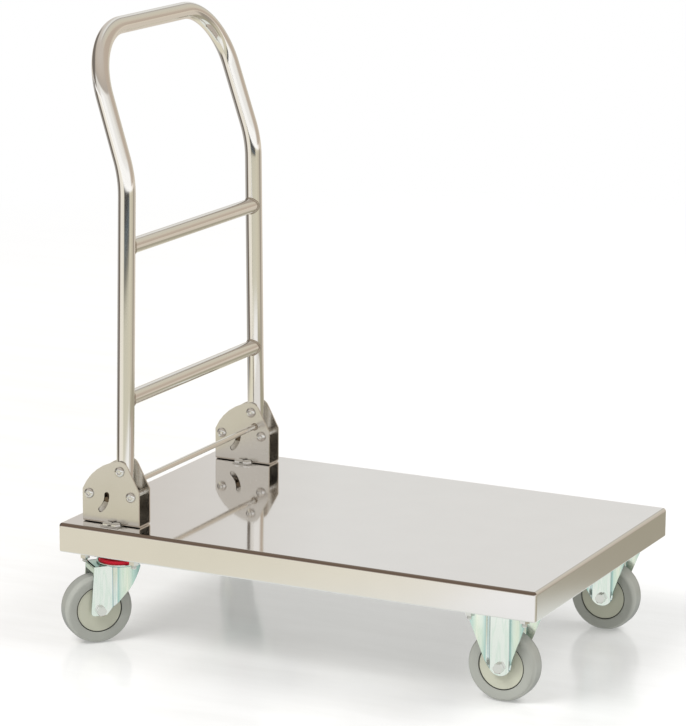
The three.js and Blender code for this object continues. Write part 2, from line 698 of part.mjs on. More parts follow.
// Top plate with its four bolts, and for a swivel castor the dish of the upper race
function topPlate(turn) {
  const plate = at(slab(shapeOf(rectangle(PLATE_LENGTH, PLATE_WIDTH, PLATE_CORNER)), PLATE_SHEET), 0, 0, PLATE_FOOT);
  const head = CASTOR_TOP + FIT + CHANNEL_SHEET + FIT;
  const tip = PLATE_FOOT - MOUNT_NUT_HEIGHT - MOUNT_TIP;
  const bolts = mountPlaces(0, 0).flatMap(([x, y]) => [
    at(rod(MOUNT_BOLT_RADIUS, head - tip, SMALL_SIDES), x, y, (head + tip) / 2),
    at(hexUp(MOUNT_FLATS, MOUNT_HEAD_HEIGHT), x, y, head + MOUNT_HEAD_HEIGHT / 2),
    at(hexUp(MOUNT_FLATS, MOUNT_NUT_HEIGHT + FIT), x, y, PLATE_FOOT - (MOUNT_NUT_HEIGHT - FIT) / 2),
  ]);
  return joined(plate, ...bolts).rotateZ(turn);
}

function swivelPlate(turn) {
  const foot = CROWN_TOP + FIT + SEAL_HEIGHT + FIT;
  const dish = turned(
    [
      [0, foot],
      [DISH_FOOT_RADIUS, foot],
      [DISH_TOP_RADIUS, PLATE_FOOT],
      [0, PLATE_FOOT + PLATE_SHEET / 2],
    ],
    HUB_SIDES,
  );
  const sink = turned(kingpinProfile(FIT, foot - OVERRUN, OVERRUN), ROUND_SIDES);
  return cut(join(topPlate(turn), dish), sink);
}

// Kingpin: countersunk head, shank and nut. Grown by a gap, it is also the hole it passes through.
function kingpinProfile(grow, foot, above) {
  const top = CASTOR_TOP - FIT + grow;
  const neck = top - (KINGPIN_HEAD_RADIUS - KINGPIN_RADIUS);
  return [
    [0, foot],
    [KINGPIN_RADIUS + grow, foot],
    [KINGPIN_RADIUS + grow, neck],
    [KINGPIN_HEAD_RADIUS + grow, top],
    [KINGPIN_HEAD_RADIUS + grow, top + above],
    [0, top + above],
  ];
}

function kingpin() {
  const nutTop = CROWN_FOOT - FIT;
  const foot = nutTop - KINGPIN_NUT_HEIGHT;
  const profile = kingpinProfile(0, foot, 0).filter((point, i, all) => i + 2 !== all.length);
  return joined(turned(profile, ROUND_SIDES), at(hexUp(KINGPIN_NUT_FLATS, KINGPIN_NUT_HEIGHT), 0, 0, (foot + nutTop) / 2));
}

function sealRing() {
  const foot = CROWN_TOP + FIT;
  const bore = RACE_LAND_RADIUS + FIT;
  const lip = SEAL_HEIGHT / 4;
  return turnedRing(
    [
      [bore, foot],
      [SEAL_RADIUS - lip, foot],
      [SEAL_RADIUS, foot + lip],
      [SEAL_RADIUS, foot + SEAL_HEIGHT - lip],
      [SEAL_RADIUS - lip, foot + SEAL_HEIGHT],
      [bore, foot + SEAL_HEIGHT],
    ],
    HUB_SIDES,
  );
}

function swivelCastor(side, name) {
  const heading = -side * REST_HEADING;
  const castor = groupAt(trolley, REAR_X, side * REAR_Y, 0, heading);
  add(castor, `castor_plate_${name}`, swivelPlate(-heading), ZINC);
  add(castor, `kingpin_${name}`, kingpin(), BOLT_STEEL);
  add(castor, `seal_ring_${name}`, sealRing(), SEAL_RED);
  add(castor, `swivel_fork_${name}`, swivelFork(), ZINC);
  wheel(castor, -SWIVEL_TRAIL, name);
}

function rigidCastor(side, name) {
  const castor = groupAt(trolley, FRONT_X, side * FRONT_Y, 0);
  add(castor, `rigid_fork_${name}`, rigidFork(), ZINC);
  wheel(castor, 0, name);
}

// Side outline of a hinge bracket: back edge, long arc, nose round the pivot, slanted front, front edge
function bracketOutline() {
  const pivot = new THREE.Vector2(PIVOT_ALONG, PIVOT_RISE);
  const nose = new THREE.Vector2(pivot.x - NOSE_BACK, pivot.y);
  const shoulder = new THREE.Vector2(0, BRACKET_BACK_HEIGHT);
  const sweep = circlesMeet(shoulder, BACK_ARC_RADIUS, nose, BACK_ARC_RADIUS - NOSE_RADIUS);
  const front = new THREE.Vector2(BRACKET_LENGTH, BRACKET_FRONT_HEIGHT);
  const join = nose.clone().sub(sweep).angle();
  const leave = touchAngle(nose, NOSE_RADIUS, front, 1);
  const start = shoulder.clone().sub(sweep).angle();
  return [
    new THREE.Vector2(0, 0),
    new THREE.Vector2(BRACKET_LENGTH, 0),
    front,
    ...arcPoints(nose, NOSE_RADIUS, leave, join, ARC_STEPS),
    ...arcPoints(sweep, BACK_ARC_RADIUS, join, start, ARC_STEPS).slice(1),
  ];
}

// Arc slot that the latch stud runs in, drawn in x and z from the bracket's corner
function latchSlot() {
  const centre = new THREE.Vector2(LATCH_ALONG, LATCH_RISE);
  const half = STUD_RADIUS + FIT;
  const end = (angle, from, to) => arcPoints(onCircle(centre, LATCH_REACH, angle), half, from, to, ARC_STEPS);
  return [
    ...arcPoints(centre, LATCH_REACH + half, SLOT_FOOT, SLOT_TOP, ARC_STEPS),
    ...end(SLOT_TOP, SLOT_TOP, SLOT_TOP + Math.PI).slice(1, -1),
    ...arcPoints(centre, LATCH_REACH - half, SLOT_TOP, SLOT_FOOT, ARC_STEPS),
    ...end(SLOT_FOOT, SLOT_FOOT - Math.PI, SLOT_FOOT).slice(1, -1),
  ];
}

const hingeBoltPlaces = {
  pivot: [PIVOT_ALONG, PIVOT_RISE],
  latch: [LATCH_ALONG, LATCH_RISE],
  stop: [PIVOT_ALONG + STOP_AHEAD, STOP_RISE],
};

function hingeBracket() {
  const height = PIVOT_RISE + NOSE_RADIUS + OVERRUN;
  const half = BRACKET_WIDTH / 2;
  const inner = half - BRACKET_SHEET;
  const section = rounded([
    [-half, 0, BRACKET_BEND],
    [half, 0, BRACKET_BEND],
    [half, height, 0],
    [inner, height, 0],
    [inner, BRACKET_SHEET, BRACKET_BEND - BRACKET_SHEET],
    [-inner, BRACKET_SHEET, BRACKET_BEND - BRACKET_SHEET],
    [-inner, height, 0],
    [-half, height, 0],
  ]);
  const folded = along(shapeOf(section), BRACKET_LENGTH);
  const trimmed = common(folded, across(shapeOf(bracketOutline()), BRACKET_WIDTH + 2 * OVERRUN));
  const ears = [-1, 1].map((side) => {
    const ear = new THREE.BoxGeometry(EAR_LENGTH, EAR_WIDTH + BRACKET_BEND, EAR_SHEET);
    return at(ear, EAR_ALONG, side * (half + (EAR_WIDTH - BRACKET_BEND) / 2), EAR_SHEET / 2);
  });
  const span = BRACKET_WIDTH + 2 * OVERRUN;
  const drills = Object.values(hingeBoltPlaces).map(([x, z]) =>
    at(rodAcross(HINGE_BOLT_RADIUS + FIT, span, ROUND_SIDES), x, 0, z),
  );
  const footDrills = deckBoltPlaces.map(([x, y]) =>
    at(rod(DECK_BOLT_RADIUS + FIT, EAR_SHEET + 2 * OVERRUN, SMALL_SIDES), x, y, EAR_SHEET / 2),
  );
  const slot = across(shapeOf(latchSlot()), span);
  return cut(join(trimmed, ...ears), slot, ...drills, ...footDrills);
}

// Hinge pin along Y: a barrel bolt with a round head on each side, and a socket in the one at -Y
function hingePin() {
  const seat = BRACKET_WIDTH / 2 + FIT;
  const crown = HINGE_HEAD_RADIUS - HINGE_HEAD_HEIGHT / 2;
  const head = [
    [HINGE_BOLT_RADIUS, seat],
    [HINGE_HEAD_RADIUS, seat],
    [HINGE_HEAD_RADIUS, seat + HINGE_HEAD_HEIGHT / 4],
    [(HINGE_HEAD_RADIUS + crown) / 2, seat + (3 * HINGE_HEAD_HEIGHT) / 4],
    [crown, seat + HINGE_HEAD_HEIGHT],
    [0, seat + HINGE_HEAD_HEIGHT],
  ];
  const other = head.map(([radius, z]) => [radius, -z]).reverse();
  const socket = hexAcross(HINGE_SOCKET_FLATS, 2 * HINGE_SOCKET_DEPTH);
  const body = turned([...other, ...head], ROUND_SIDES).rotateX(QUARTER);
  return cut(body, at(socket, 0, -seat - HINGE_HEAD_HEIGHT, 0));
}

// Deck bolt with its nut, its head on the ear and its nut under the deck
function deckBolt() {
  const seat = BRACKET_Z + EAR_SHEET + FIT;
  const nutTop = DECK_TOP - DECK_SHEET - FIT;
  const tip = nutTop - DECK_NUT_HEIGHT - DECK_BOLT_TIP;
  return joined(
    at(rod(DECK_BOLT_RADIUS, seat - tip, SMALL_SIDES), 0, 0, (seat + tip) / 2),
    at(hexUp(MOUNT_FLATS, DECK_HEAD_HEIGHT), 0, 0, seat + DECK_HEAD_HEIGHT / 2),
    at(hexUp(MOUNT_FLATS, DECK_NUT_HEIGHT), 0, 0, nutTop - DECK_NUT_HEIGHT / 2),
  );
}

function stopSleeve() {
  const half = BRACKET_GAP / 2 - FIT;
  const bore = HINGE_BOLT_RADIUS + FIT;
  const wall = Math.max(STOP_SLEEVE_RADIUS, bore + FIT);
  return turnedRing(
    [
      [bore, -half],
      [wall, -half],
      [wall, half],
      [bore, half],
    ],
    ROUND_SIDES,
  ).rotateX(QUARTER);
}

// Latch lever: a hub on the rear bolt and a nose in front, with the stud through it
function latchLever() {
  const centre = new THREE.Vector2(0, 0);
  const nose = onCircle(centre, LATCH_REACH, LATCH_REST);
  const lean = Math.acos((LATCH_HUB_RADIUS - LATCH_NOSE_RADIUS) / LATCH_REACH);
  const outline = [
    ...arcPoints(nose, LATCH_NOSE_RADIUS, LATCH_REST - lean, LATCH_REST + lean, ARC_STEPS),
    ...arcPoints(centre, LATCH_HUB_RADIUS, LATCH_REST + lean, LATCH_REST + 2 * Math.PI - lean, ARC_STEPS),
  ];
  const arm = across(shapeOf(outline), LATCH_WIDTH);
  const stud = at(rodAcross(STUD_RADIUS, BRACKET_WIDTH - 2 * FIT, ROUND_SIDES), nose.x, 0, nose.y);
  const bore = rodAcross(HINGE_BOLT_RADIUS + FIT, LATCH_WIDTH + 2 * OVERRUN, ROUND_SIDES);
  return cut(join(arm, stud), bore);
}

function hinge(side, name) {
  const bracket = groupAt(trolley, BRACKET_X, side * STILE_Y, BRACKET_Z);
  add(bracket, `hinge_bracket_${name}`, hingeBracket(), SATIN_STEEL);
  for (const [role, [x, z]] of Object.entries(hingeBoltPlaces)) {
    add(groupAt(bracket, x, 0, z), `${role}_bolt_${name}`, hingePin(), BOLT_STEEL);
  }
  const [stopX, stopZ] = hingeBoltPlaces.stop;
  add(groupAt(bracket, stopX, 0, stopZ), `stop_sleeve_${name}`, stopSleeve(), BOLT_STEEL);
  const [latchX, latchZ] = hingeBoltPlaces.latch;
  add(groupAt(bracket, latchX, 0, latchZ), `latch_lever_${name}`, latchLever(), BOLT_STEEL);
  deckBoltPlaces.forEach(([x, y], i) => {
    const place = groupAt(trolley, BRACKET_X + x, side * STILE_Y + y, 0);
    add(place, `deck_bolt_${name}_${i + 1}`, deckBolt(), BOLT_STEEL);
  });
}

// Rod that ties the two brackets together, welded between their inner plates
function tieRod() {
  const length = 2 * STILE_Y - BRACKET_WIDTH - 2 * FIT;
  const tie = groupAt(trolley, BRACKET_X + TIE_ALONG, 0, BRACKET_Z + TIE_RISE);
  add(tie, "tie_rod", rodAcross(TIE_RADIUS, length, ROUND_SIDES), POLISHED_TUBE);
}

// How far out a stile's middle is, at a height above the pivot: the stiles lean in towards the top.
const stileY = (rise) => STILE_Y - (TOP_INSET * rise) / TOP_RISE;

// Handle, in a frame whose origin is midway between its two pivots
function handle() {
  const frame = groupAt(trolley, BRACKET_X + PIVOT_ALONG, 0, BRACKET_Z + PIVOT_RISE);
  const tail = (side) => new THREE.Vector3(0, side * stileY(-TAIL_LENGTH), -TAIL_LENGTH);
  const leanRise = LEAN_SHARE * TOP_RISE;
  const lean = (side) => new THREE.Vector3(0, side * stileY(leanRise), leanRise);
  const top = (side) => new THREE.Vector3(-LEAN_BACK, side * stileY(TOP_RISE), TOP_RISE);
  const path = new BentPath([
    [tail(-1), 0],
    [lean(-1), LEAN_BEND_RADIUS],
    [top(-1), CORNER_BEND_RADIUS],
    [top(1), CORNER_BEND_RADIUS],
    [lean(1), LEAN_BEND_RADIUS],
    [tail(1), 0],
  ]);
  const drill = rodAcross(HINGE_BOLT_RADIUS + FIT, 2 * (STILE_Y + BRACKET_WIDTH), ROUND_SIDES);
  add(frame, "handle_tube", cut(pipe(path, TUBE_RADIUS, TUBE_WALL), drill), POLISHED_TUBE);
  const rungs = { lower_rung: LOWER_RUNG_SHARE, upper_rung: UPPER_RUNG_SHARE };
  for (const [name, share] of Object.entries(rungs)) {
    const rise = share * TOP_RISE;
    add(groupAt(frame, 0, 0, rise), name, rung(stileY(rise)), POLISHED_TUBE);
  }
}

// Rung: a tube whose ends are coped to the two leaning stiles
function rung(end) {
  const path = new BentPath([
    [new THREE.Vector3(0, -end, 0), 0],
    [new THREE.Vector3(0, end, 0), 0],
  ]);
  const copes = [-1, 1].map((side) => {
    const cope = rod(TUBE_RADIUS + FIT, 2 * (RUNG_RADIUS + OVERRUN), 2 * TUBE_SIDES);
    return at(cope.rotateX(side * Math.atan(TOP_INSET / TOP_RISE)), 0, side * end, 0);
  });
  return cut(pipe(path, RUNG_RADIUS, RUNG_WALL), ...copes);
}

platform();
for (const [side, name] of [
  [-1, "near"],
  [1, "far"],
]) {
  swivelCastor(side, `rear_${name}`);
  rigidCastor(side, `front_${name}`);
  hinge(side, name);
}
tieRod();
handle();

export default trolley;
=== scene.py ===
"""Looks of a stainless steel platform trolley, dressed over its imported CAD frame. Lengths are metres."""
import json
import math

import bmesh
import bpy
from mathutils import Matrix, Vector


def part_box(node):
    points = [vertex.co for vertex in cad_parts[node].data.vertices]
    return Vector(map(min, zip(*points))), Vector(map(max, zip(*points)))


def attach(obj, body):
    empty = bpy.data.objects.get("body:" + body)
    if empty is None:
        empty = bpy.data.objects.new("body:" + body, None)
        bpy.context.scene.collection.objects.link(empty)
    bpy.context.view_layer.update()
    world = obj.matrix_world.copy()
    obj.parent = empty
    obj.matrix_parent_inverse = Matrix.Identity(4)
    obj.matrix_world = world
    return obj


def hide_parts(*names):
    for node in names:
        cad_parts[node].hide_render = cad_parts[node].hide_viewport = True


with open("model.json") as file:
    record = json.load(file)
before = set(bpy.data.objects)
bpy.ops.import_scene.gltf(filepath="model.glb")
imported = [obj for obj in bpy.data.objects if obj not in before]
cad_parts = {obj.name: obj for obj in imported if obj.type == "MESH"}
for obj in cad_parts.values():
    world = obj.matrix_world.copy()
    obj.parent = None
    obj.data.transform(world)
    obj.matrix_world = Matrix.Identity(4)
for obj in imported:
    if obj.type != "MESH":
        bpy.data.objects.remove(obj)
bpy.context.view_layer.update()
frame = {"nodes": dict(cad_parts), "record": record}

nodes = frame["nodes"]
record = frame["record"]
body_of_node = {node: body for body, held in record["behaviour"]["bodies"].items() for node in held}
slot_of_node = {part["node"]: part["material_slot"] for part in record["subparts"]}
joints = {joint["name"]: joint for joint in record["behaviour"]["joints"]}

MM = 0.001
SIDES = {"near": -1, "far": 1}

# Camera, fitted to the photograph
IMAGE_WIDTH, IMAGE_HEIGHT = 686, 726
CAMERA_PLACE = Vector((2.0686, -4.2769, 1.5000))
CAMERA_YAW = math.radians(26.373)
CAMERA_PITCH = math.radians(-12.990)
CAMERA_ROLL = math.radians(0.399)
FOCAL_PIXELS = 3419.98
PRINCIPAL_X, PRINCIPAL_Y = 334.505, 360.270
SENSOR = 36.0
CLIP_NEAR, CLIP_FAR = 0.1, 200

# Rounding and fineness of the visible pieces
SHEET_BEVEL = 0.45 * MM
BEVEL_STEPS = 2
SHARP_ANGLE = math.radians(38)
FLAT_ANGLE = math.radians(0.5)
WELD = 0.002 * MM
ROUND_SIDES = 48
WHEEL_SIDES = 120
BEND_STEP = math.radians(2.5)
FILLET_STEPS = 8
MICRON_DIGITS = 6

# Platform
DECK_LENGTH, DECK_WIDTH = 740 * MM, 484 * MM
DECK_BASE, DECK_TOP = 133 * MM, 175.5 * MM
DECK_SHEET = 1.5 * MM
EDGE_RADIUS = 5 * MM
CORNER_RADIUS = 5 * MM
LEAST_CORNER = 0.4 * MM
FOOT_RADIUS = 2.2 * MM
LIP_WIDTH = 15 * MM

# Handle
TUBE_RADIUS, TUBE_WALL = 12.5 * MM, 1.5 * MM
RUNG_RADIUS, RUNG_WALL = 11 * MM, 1.2 * MM
STILE_Y = 199 * MM
TOP_INSET = 15 * MM
TAIL_LENGTH = 40 * MM
LEAN_BACK = 65 * MM
TOP_RISE = 617.7 * MM
LEAN_SHARE = 0.678
RUNG_SHARES = {"lower_rung": 0.1636, "upper_rung": 0.517}
LEAN_BEND_RADIUS = 165 * MM
CORNER_BEND_RADIUS = 95 * MM

# Tie rod between the brackets
TIE_RADIUS = 4 * MM

# Weld beads
RUNG_BEAD, TIE_BEAD = 1.7 * MM, 1.3 * MM
BEAD_RIPPLE = 0.3 * MM
BEAD_RIPPLES = 34
BEAD_STEPS, BEAD_SIDES = 144, 16

# Hinge bolts
HINGE_BOLT_RADIUS = 3 * MM
HINGE_HEAD_RADIUS, HINGE_HEAD_HEIGHT = 7.4 * MM, 4.2 * MM
HINGE_HEAD_EASE = 0.3 * MM
HINGE_BRIM = 0.9 * MM
DOME_TURN, DOME_STEPS = math.radians(60), 10
SOCKET_FLATS, SOCKET_DEPTH = 5.2 * MM, 2.6 * MM
SOCKET_MOUTH_SHARE = 0.72
SOCKET_CHAMFER = 0.35 * MM
SOCKET_POINT = 0.5 * MM

# Fasteners
HEX_FLATS = 13 * MM
HEAD_CHAMFER, NUT_CHAMFER = 0.7 * MM, 1 * MM
PITCH, THREAD_DEPTH = 1.25 * MM, 0.45 * MM
FIT = 0.3 * MM
DECK_BOLT_RADIUS = 3 * MM
DECK_HEAD_HEIGHT, DECK_NUT_HEIGHT = 3.2 * MM, 5 * MM
DECK_SHANK_SUNK = 1 * MM

# Wheels
WHEEL_RADIUS = 50 * MM
TYRE_WIDTH, TREAD_WIDTH = 32 * MM, 13 * MM
SHOULDER_DROP = 5 * MM
WALL_DROP, WALL_DRAFT = 3.5 * MM, 0.1 * MM
HUB_RADIUS, HUB_WIDTH = 33 * MM, 27 * MM
HUB_BORE = 6.6 * MM
GROOVE_WIDTH, GROOVE_DEPTH = 1.3 * MM, 3 * MM
GROOVE_OUTER_SHARE = 0.6
FLANK_RECESS = 1.2 * MM
BOSS_RADIUS, BOSS_REACH = 10 * MM, 16.9 * MM
# Dark ring that paints the shade in the groove between tyre and hub
GROOVE_SHADE_TOP, GROOVE_SHADE_FOOT, GROOVE_SHADE_OVERLAP = 0.4 * MM, 2 * MM, 0.2 * MM

# Edges of tyre and hub: steps outwards and sideways from the edge that each follows, in millimetres
TYRE_LIP = ((1.2, 0.35), (0.4, -0.1), (0, -0.6))
HUB_RIM = ((0, -0.5), (-0.5, 0), (-1.8, 0), (-2.4, -0.35))
BOSS_FOOT = ((3, -0.35), (0.6, 0.6))
BOSS_END = ((0, -0.5), (-0.5, 0))

# Axles
AXLE_RADIUS = 4 * MM
AXLE_HEAD_HEIGHT, AXLE_NUT_HEIGHT = 5.3 * MM, 7 * MM
AXLE_NUT_CHAMFER = 1.1 * MM
AXLE_SHANK_SUNK = 2 * MM
AXLE_END = 9 * MM

# Fork legs: a middle panel, a pressed step outwards and a wing that flares on from it
LEG_INNER, LEG_SHEET = 17.8 * MM, 2.5 * MM
LEG_NIP = 0.4 * MM
LEG_EASE_SHARE = 0.7
SLOPE_STEP = 0.1 * MM
JOGGLE_DEPTH = 4.6 * MM
JOGGLE_STEPS = 12

# Rigid fork, along x from the axle
RIGID_PANEL, RIGID_JOGGLE, RIGID_EDGE = 14 * MM, 6 * MM, 46 * MM
RIGID_FLARE = 0.3
EYE_RADIUS, EYE_RISE = 17 * MM, 5 * MM
EYE_STEPS, PANEL_STEPS, RIGID_WING_STEPS = 28, 12, 8

# Swivel fork, along x from the axle
SWIVEL_TRAIL = 36 * MM
TOE_REACH, CROWN_REACH, BACK_REACH = -14 * MM, -9 * MM, 57 * MM
SWIVEL_BEND, SWIVEL_JOGGLE = 17 * MM, 9 * MM
SWIVEL_FLARE = 0.12
SOLE_DROP = 8 * MM
TOE_RADIUS, TOE_RISE = 5 * MM, 3 * MM
HEEL_REACH = 9 * MM
KNEE, BOW = (41 * MM, 29 * MM), (50 * MM, 41 * MM)
TOE_STEPS, SOLE_STEPS, CURVE_STEPS, SWIVEL_WING_STEPS = 10, 8, 12, 10

# Crown of the swivel fork, with the raised land that the balls run under
CROWN_FOOT, CROWN_SHEET = 112 * MM, 3 * MM
CROWN_TOP = CROWN_FOOT + CROWN_SHEET
CROWN_EDGE_SHARE = 0.96
CROWN_FILLET = 12 * MM
CROWN_STEPS = 20
CROWN_BEVEL, LIP_BEVEL = 0.9 * MM, 0.8 * MM
LIP_DROP = 10 * MM

# Round bodies of the swivel head: radius, and height over the face that each stands on, in millimetres
LAND_FOOT = ((0, 0), (24, 0))
LAND = ((30, -1.6), (33.6, 0.6), (34.2, 1.8), (33.8, 2.6), (33, 2.9), (31.8, 2.6), (31.4, 0.2),
        (22.8, 0.1), (22.4, 1.4), (22, 1.6), (0, 1.6))
DISH_BOWL = ((0, 0), (26, 0), (27.4, 0.5))
DISH_BRIM = ((31, -1), (33.5, 0), (0, 1))
DISH_RISE = 7.6 * MM

# Castor top plate and its bolts
PLATE_FOOT, PLATE_SHEET = 129.7 * MM, 3 * MM
PLATE_TOP = PLATE_FOOT + PLATE_SHEET
PLATE_LENGTH, PLATE_WIDTH, PLATE_CORNER = 105 * MM, 80 * MM, 8 * MM
BOLT_SPACING_LONG, BOLT_SPACING_CROSS = 80 * MM, 60 * MM
PLATE_BOLT_RADIUS = 4 * MM
PLATE_HEAD_FOOT, PLATE_HEAD_TOP, PLATE_SHANK_TOP = 135.3 * MM, 140.6 * MM, 136 * MM
PLATE_NUT_HEIGHT = 6.5 * MM
PLATE_THREAD_START, PLATE_BOLT_END = 6 * MM, 13.5 * MM

# Seal ring and kingpin
SEAL_RADIUS, SEAL_HEIGHT, SEAL_BORE = 31 * MM, 7 * MM, 23.3 * MM
SEAL_FILLET, SEAL_WAIST = 2 * MM, 0.6 * MM
KINGPIN_RADIUS, KINGPIN_HEAD_RADIUS = 5 * MM, 9 * MM
KINGPIN_FOOT, KINGPIN_NECK, KINGPIN_TOP = 104.7 * MM, 128.4 * MM, 132.4 * MM
KINGPIN_NUT_FLATS, KINGPIN_NUT_HEIGHT = 17 * MM, 7 * MM


def camera():
    forward = Vector((
        -math.sin(CAMERA_YAW) * math.cos(CAMERA_PITCH),
        math.cos(CAMERA_YAW) * math.cos(CAMERA_PITCH),
        math.sin(CAMERA_PITCH),
    ))
    level = forward.cross(Vector((0, 0, 1))).normalized()
    above = level.cross(forward)
    right = level * math.cos(CAMERA_ROLL) + above * math.sin(CAMERA_ROLL)
    up = above * math.cos(CAMERA_ROLL) - level * math.sin(CAMERA_ROLL)
    data = bpy.data.cameras.new("camera")
    long_side = max(IMAGE_WIDTH, IMAGE_HEIGHT)
    data.sensor_width = SENSOR
    data.lens = SENSOR * FOCAL_PIXELS / long_side
    data.shift_x = (IMAGE_WIDTH / 2 - PRINCIPAL_X) / long_side
    data.shift_y = (PRINCIPAL_Y - IMAGE_HEIGHT / 2) / long_side
    data.clip_start, data.clip_end = CLIP_NEAR, CLIP_FAR
    obj = bpy.data.objects.new("camera", data)
    turn = Matrix((right, up, -forward)).transposed().to_4x4()
    obj.matrix_world = Matrix.Translation(CAMERA_PLACE) @ turn
    bpy.context.scene.collection.objects.link(obj)
    bpy.context.scene.camera = obj


# Node trees
class Tree:
    """A short way to write node trees. Inputs go by name, or by number where several share a name."""

    def __init__(self, owner):
        owner.use_nodes = True
        self.tree = owner.node_tree
        self.tree.nodes.clear()

    def add(self, kind, inputs=None, out=0, **settings):
        """Adds a node and gives the output of that number, or the node itself where out is None."""
        node = self.tree.nodes.new(kind)
        for key, value in settings.items():
            setattr(node, key, value)
        for key, value in (inputs or {}).items():
            if isinstance(value, bpy.types.NodeSocket):
                self.tree.links.new(value, node.inputs[key])
            else:
                node.inputs[key].default_value = value
        return node.outputs[out] if out is not None else node

    def ramp(self, factor, stops):
        """A colour ramp from (place, grey) or (place, colour)."""
        node = self.tree.nodes.new("ShaderNodeValToRGB")
        self.tree.links.new(factor, node.inputs[0])
        elements = node.color_ramp.elements
        while len(elements) < len(stops):
            elements.new(0.5)
        for element, (place, colour) in zip(elements, stops):
            element.position = place
            element.color = (*colour[:3], 1) if isinstance(colour, tuple) else (colour,) * 3 + (1,)
        return node.outputs[0]

    def times(self, a, b):
        return self.add("ShaderNodeMath", {0: a, 1: b}, operation="MULTIPLY")

    def plus(self, a, b):
        return self.add("ShaderNodeMath", {0: a, 1: b}, operation="ADD")

    def mix(self, factor, a, b, blend="MIX"):
        inputs = {0: factor, 6: a, 7: b}
        return self.add("ShaderNodeMix", inputs, out=2, data_type="RGBA", blend_type=blend)

    def switch(self, factor, a, b):
        """One shader where the factor is 0, another where it is 1."""
        return self.add("ShaderNodeMixShader", {0: factor, 1: a, 2: b})

    def spread(self, value, low, high, start=0.0, end=1.0):
        """A value that runs from start to end, spread between low and high."""
        return self.add("ShaderNodeMapRange", {0: value, 1: start, 2: end, 3: low, 4: high})

    def place(self, stretch=(1, 1, 1)):
        """The object's own coordinates, in metres, times a factor along each axis."""
        where = self.add("ShaderNodeTexCoord", out=3)
        return self.add("ShaderNodeMapping", {0: where, 3: stretch})

    def distance(self):
        """How far a point lies from the object's origin."""
        return self.add("ShaderNodeVectorMath", {0: self.place()}, out=1, operation="LENGTH")

    def parts(self, vector):
        """A vector's x, y and z."""
        return self.add("ShaderNodeSeparateXYZ", {0: vector}, out=None).outputs

    def facing(self):
        """The x, y and z of the way that the surface faces, in the object's own axes."""
        return self.parts(self.add("ShaderNodeTexCoord", out=1))

    def noise(self, vector, scale, detail, roughness=0.5):
        inputs = {"Vector": vector, "Scale": scale, "Detail": detail, "Roughness": roughness}
        return self.add("ShaderNodeTexNoise", inputs)

    def bump(self, height, depth, **below):
        """Unevenness of a depth in metres. Normal gives another one that it lies on."""
        inputs = {"Height": height, "Distance": depth, "Strength": 1.0, **below}
        return self.add("ShaderNodeBump", inputs)

    def principled(self, **inputs):
        """The surface of a material, from the shader's inputs with underlines for spaces."""
        named = {key.replace("_", " "): value for key, value in inputs.items()}
        return self.add("ShaderNodeBsdfPrincipled", named)

    def surface(self, shader, kind="ShaderNodeOutputMaterial"):
        self.add(kind, {"Surface": shader}, out=None)


def linear(red, green, blue):
    """A colour as read from a picture, 0 to 255, as the shader's linear colour."""
    def channel(value):
        share = value / 255
        return share / 12.92 if share <= 0.04045 else ((share + 0.055) / 1.055) ** 2.4
    return (channel(red), channel(green), channel(blue), 1.0)


def shaded(colour, share):
    return (*(c * share for c in colour[:3]), 1.0)


# Clouds, painted reflection streaks and grain in the materials
METAL_CLOUDS, MOULDED_CLOUDS, CLOUD_DETAIL = 18.0, 35.0, 4.0
CLOUD_IN_ROUGHNESS = 0.35
GRAIN_DETAIL, GRAIN_ROUGHNESS = 2.0, 0.6
GRAIN_IN_ROUGHNESS = (-0.02, 0.03)
WAVE_DETAIL, SKIN_DETAIL = 1.0, 2.0
MOULDED_ROUGHNESS_SHARES = (0.9, 1.12)
# Painted reflection streaks on zinc: thin upright tinted lines from stretched noise
STREAK_STRETCH, STREAK_SCALE, STREAK_DETAIL = (1, 1, 0.12), 110.0, 2.0
PAINTED_REFLECTION_STREAKS = ((0.42, 1.0), (0.5, (0.9, 0.96, 0.93)), (0.58, 1.0))

# Where painted reflections, painted shade and roughness change over: by the slant to the camera, or by the
# way a surface faces
PAINTED_EDGE_BLEND, PAINTED_EDGE_SPAN = 0.35, (0.25, 0.9)
SHADE_RIM_BLEND, SHADE_RIM_SPAN = 0.5, (0.5, 0.9)
PAINTED_DARK_FOLD_SPAN = (-0.22, -0.07)
LEVEL_SPAN = (0.6, 0.95)

# Painted highlights and dark reflections across a fork's leg, standing in for what the zinc mirrors: flat
# panel (0), pressed step (to 0.5), wing (to 1)
ZINC_PAINTED_REFLECTIONS = (
    (0.0, 1.0), (0.05, (0.92, 0.97, 1.0)), (0.11, (0.26, 0.4, 0.5)), (0.17, 1.0),
    (0.26, (0.88, 0.92, 1.0)), (0.36, 1.0), (0.46, (0.5, 0.7, 0.71)), (0.56, (0.86, 0.93, 0.87)),
    (0.7, (0.97, 0.97, 0.88)), (0.85, (0.6, 0.77, 0.74)), (1.0, (0.3, 0.43, 0.43)),
)

materials = {}


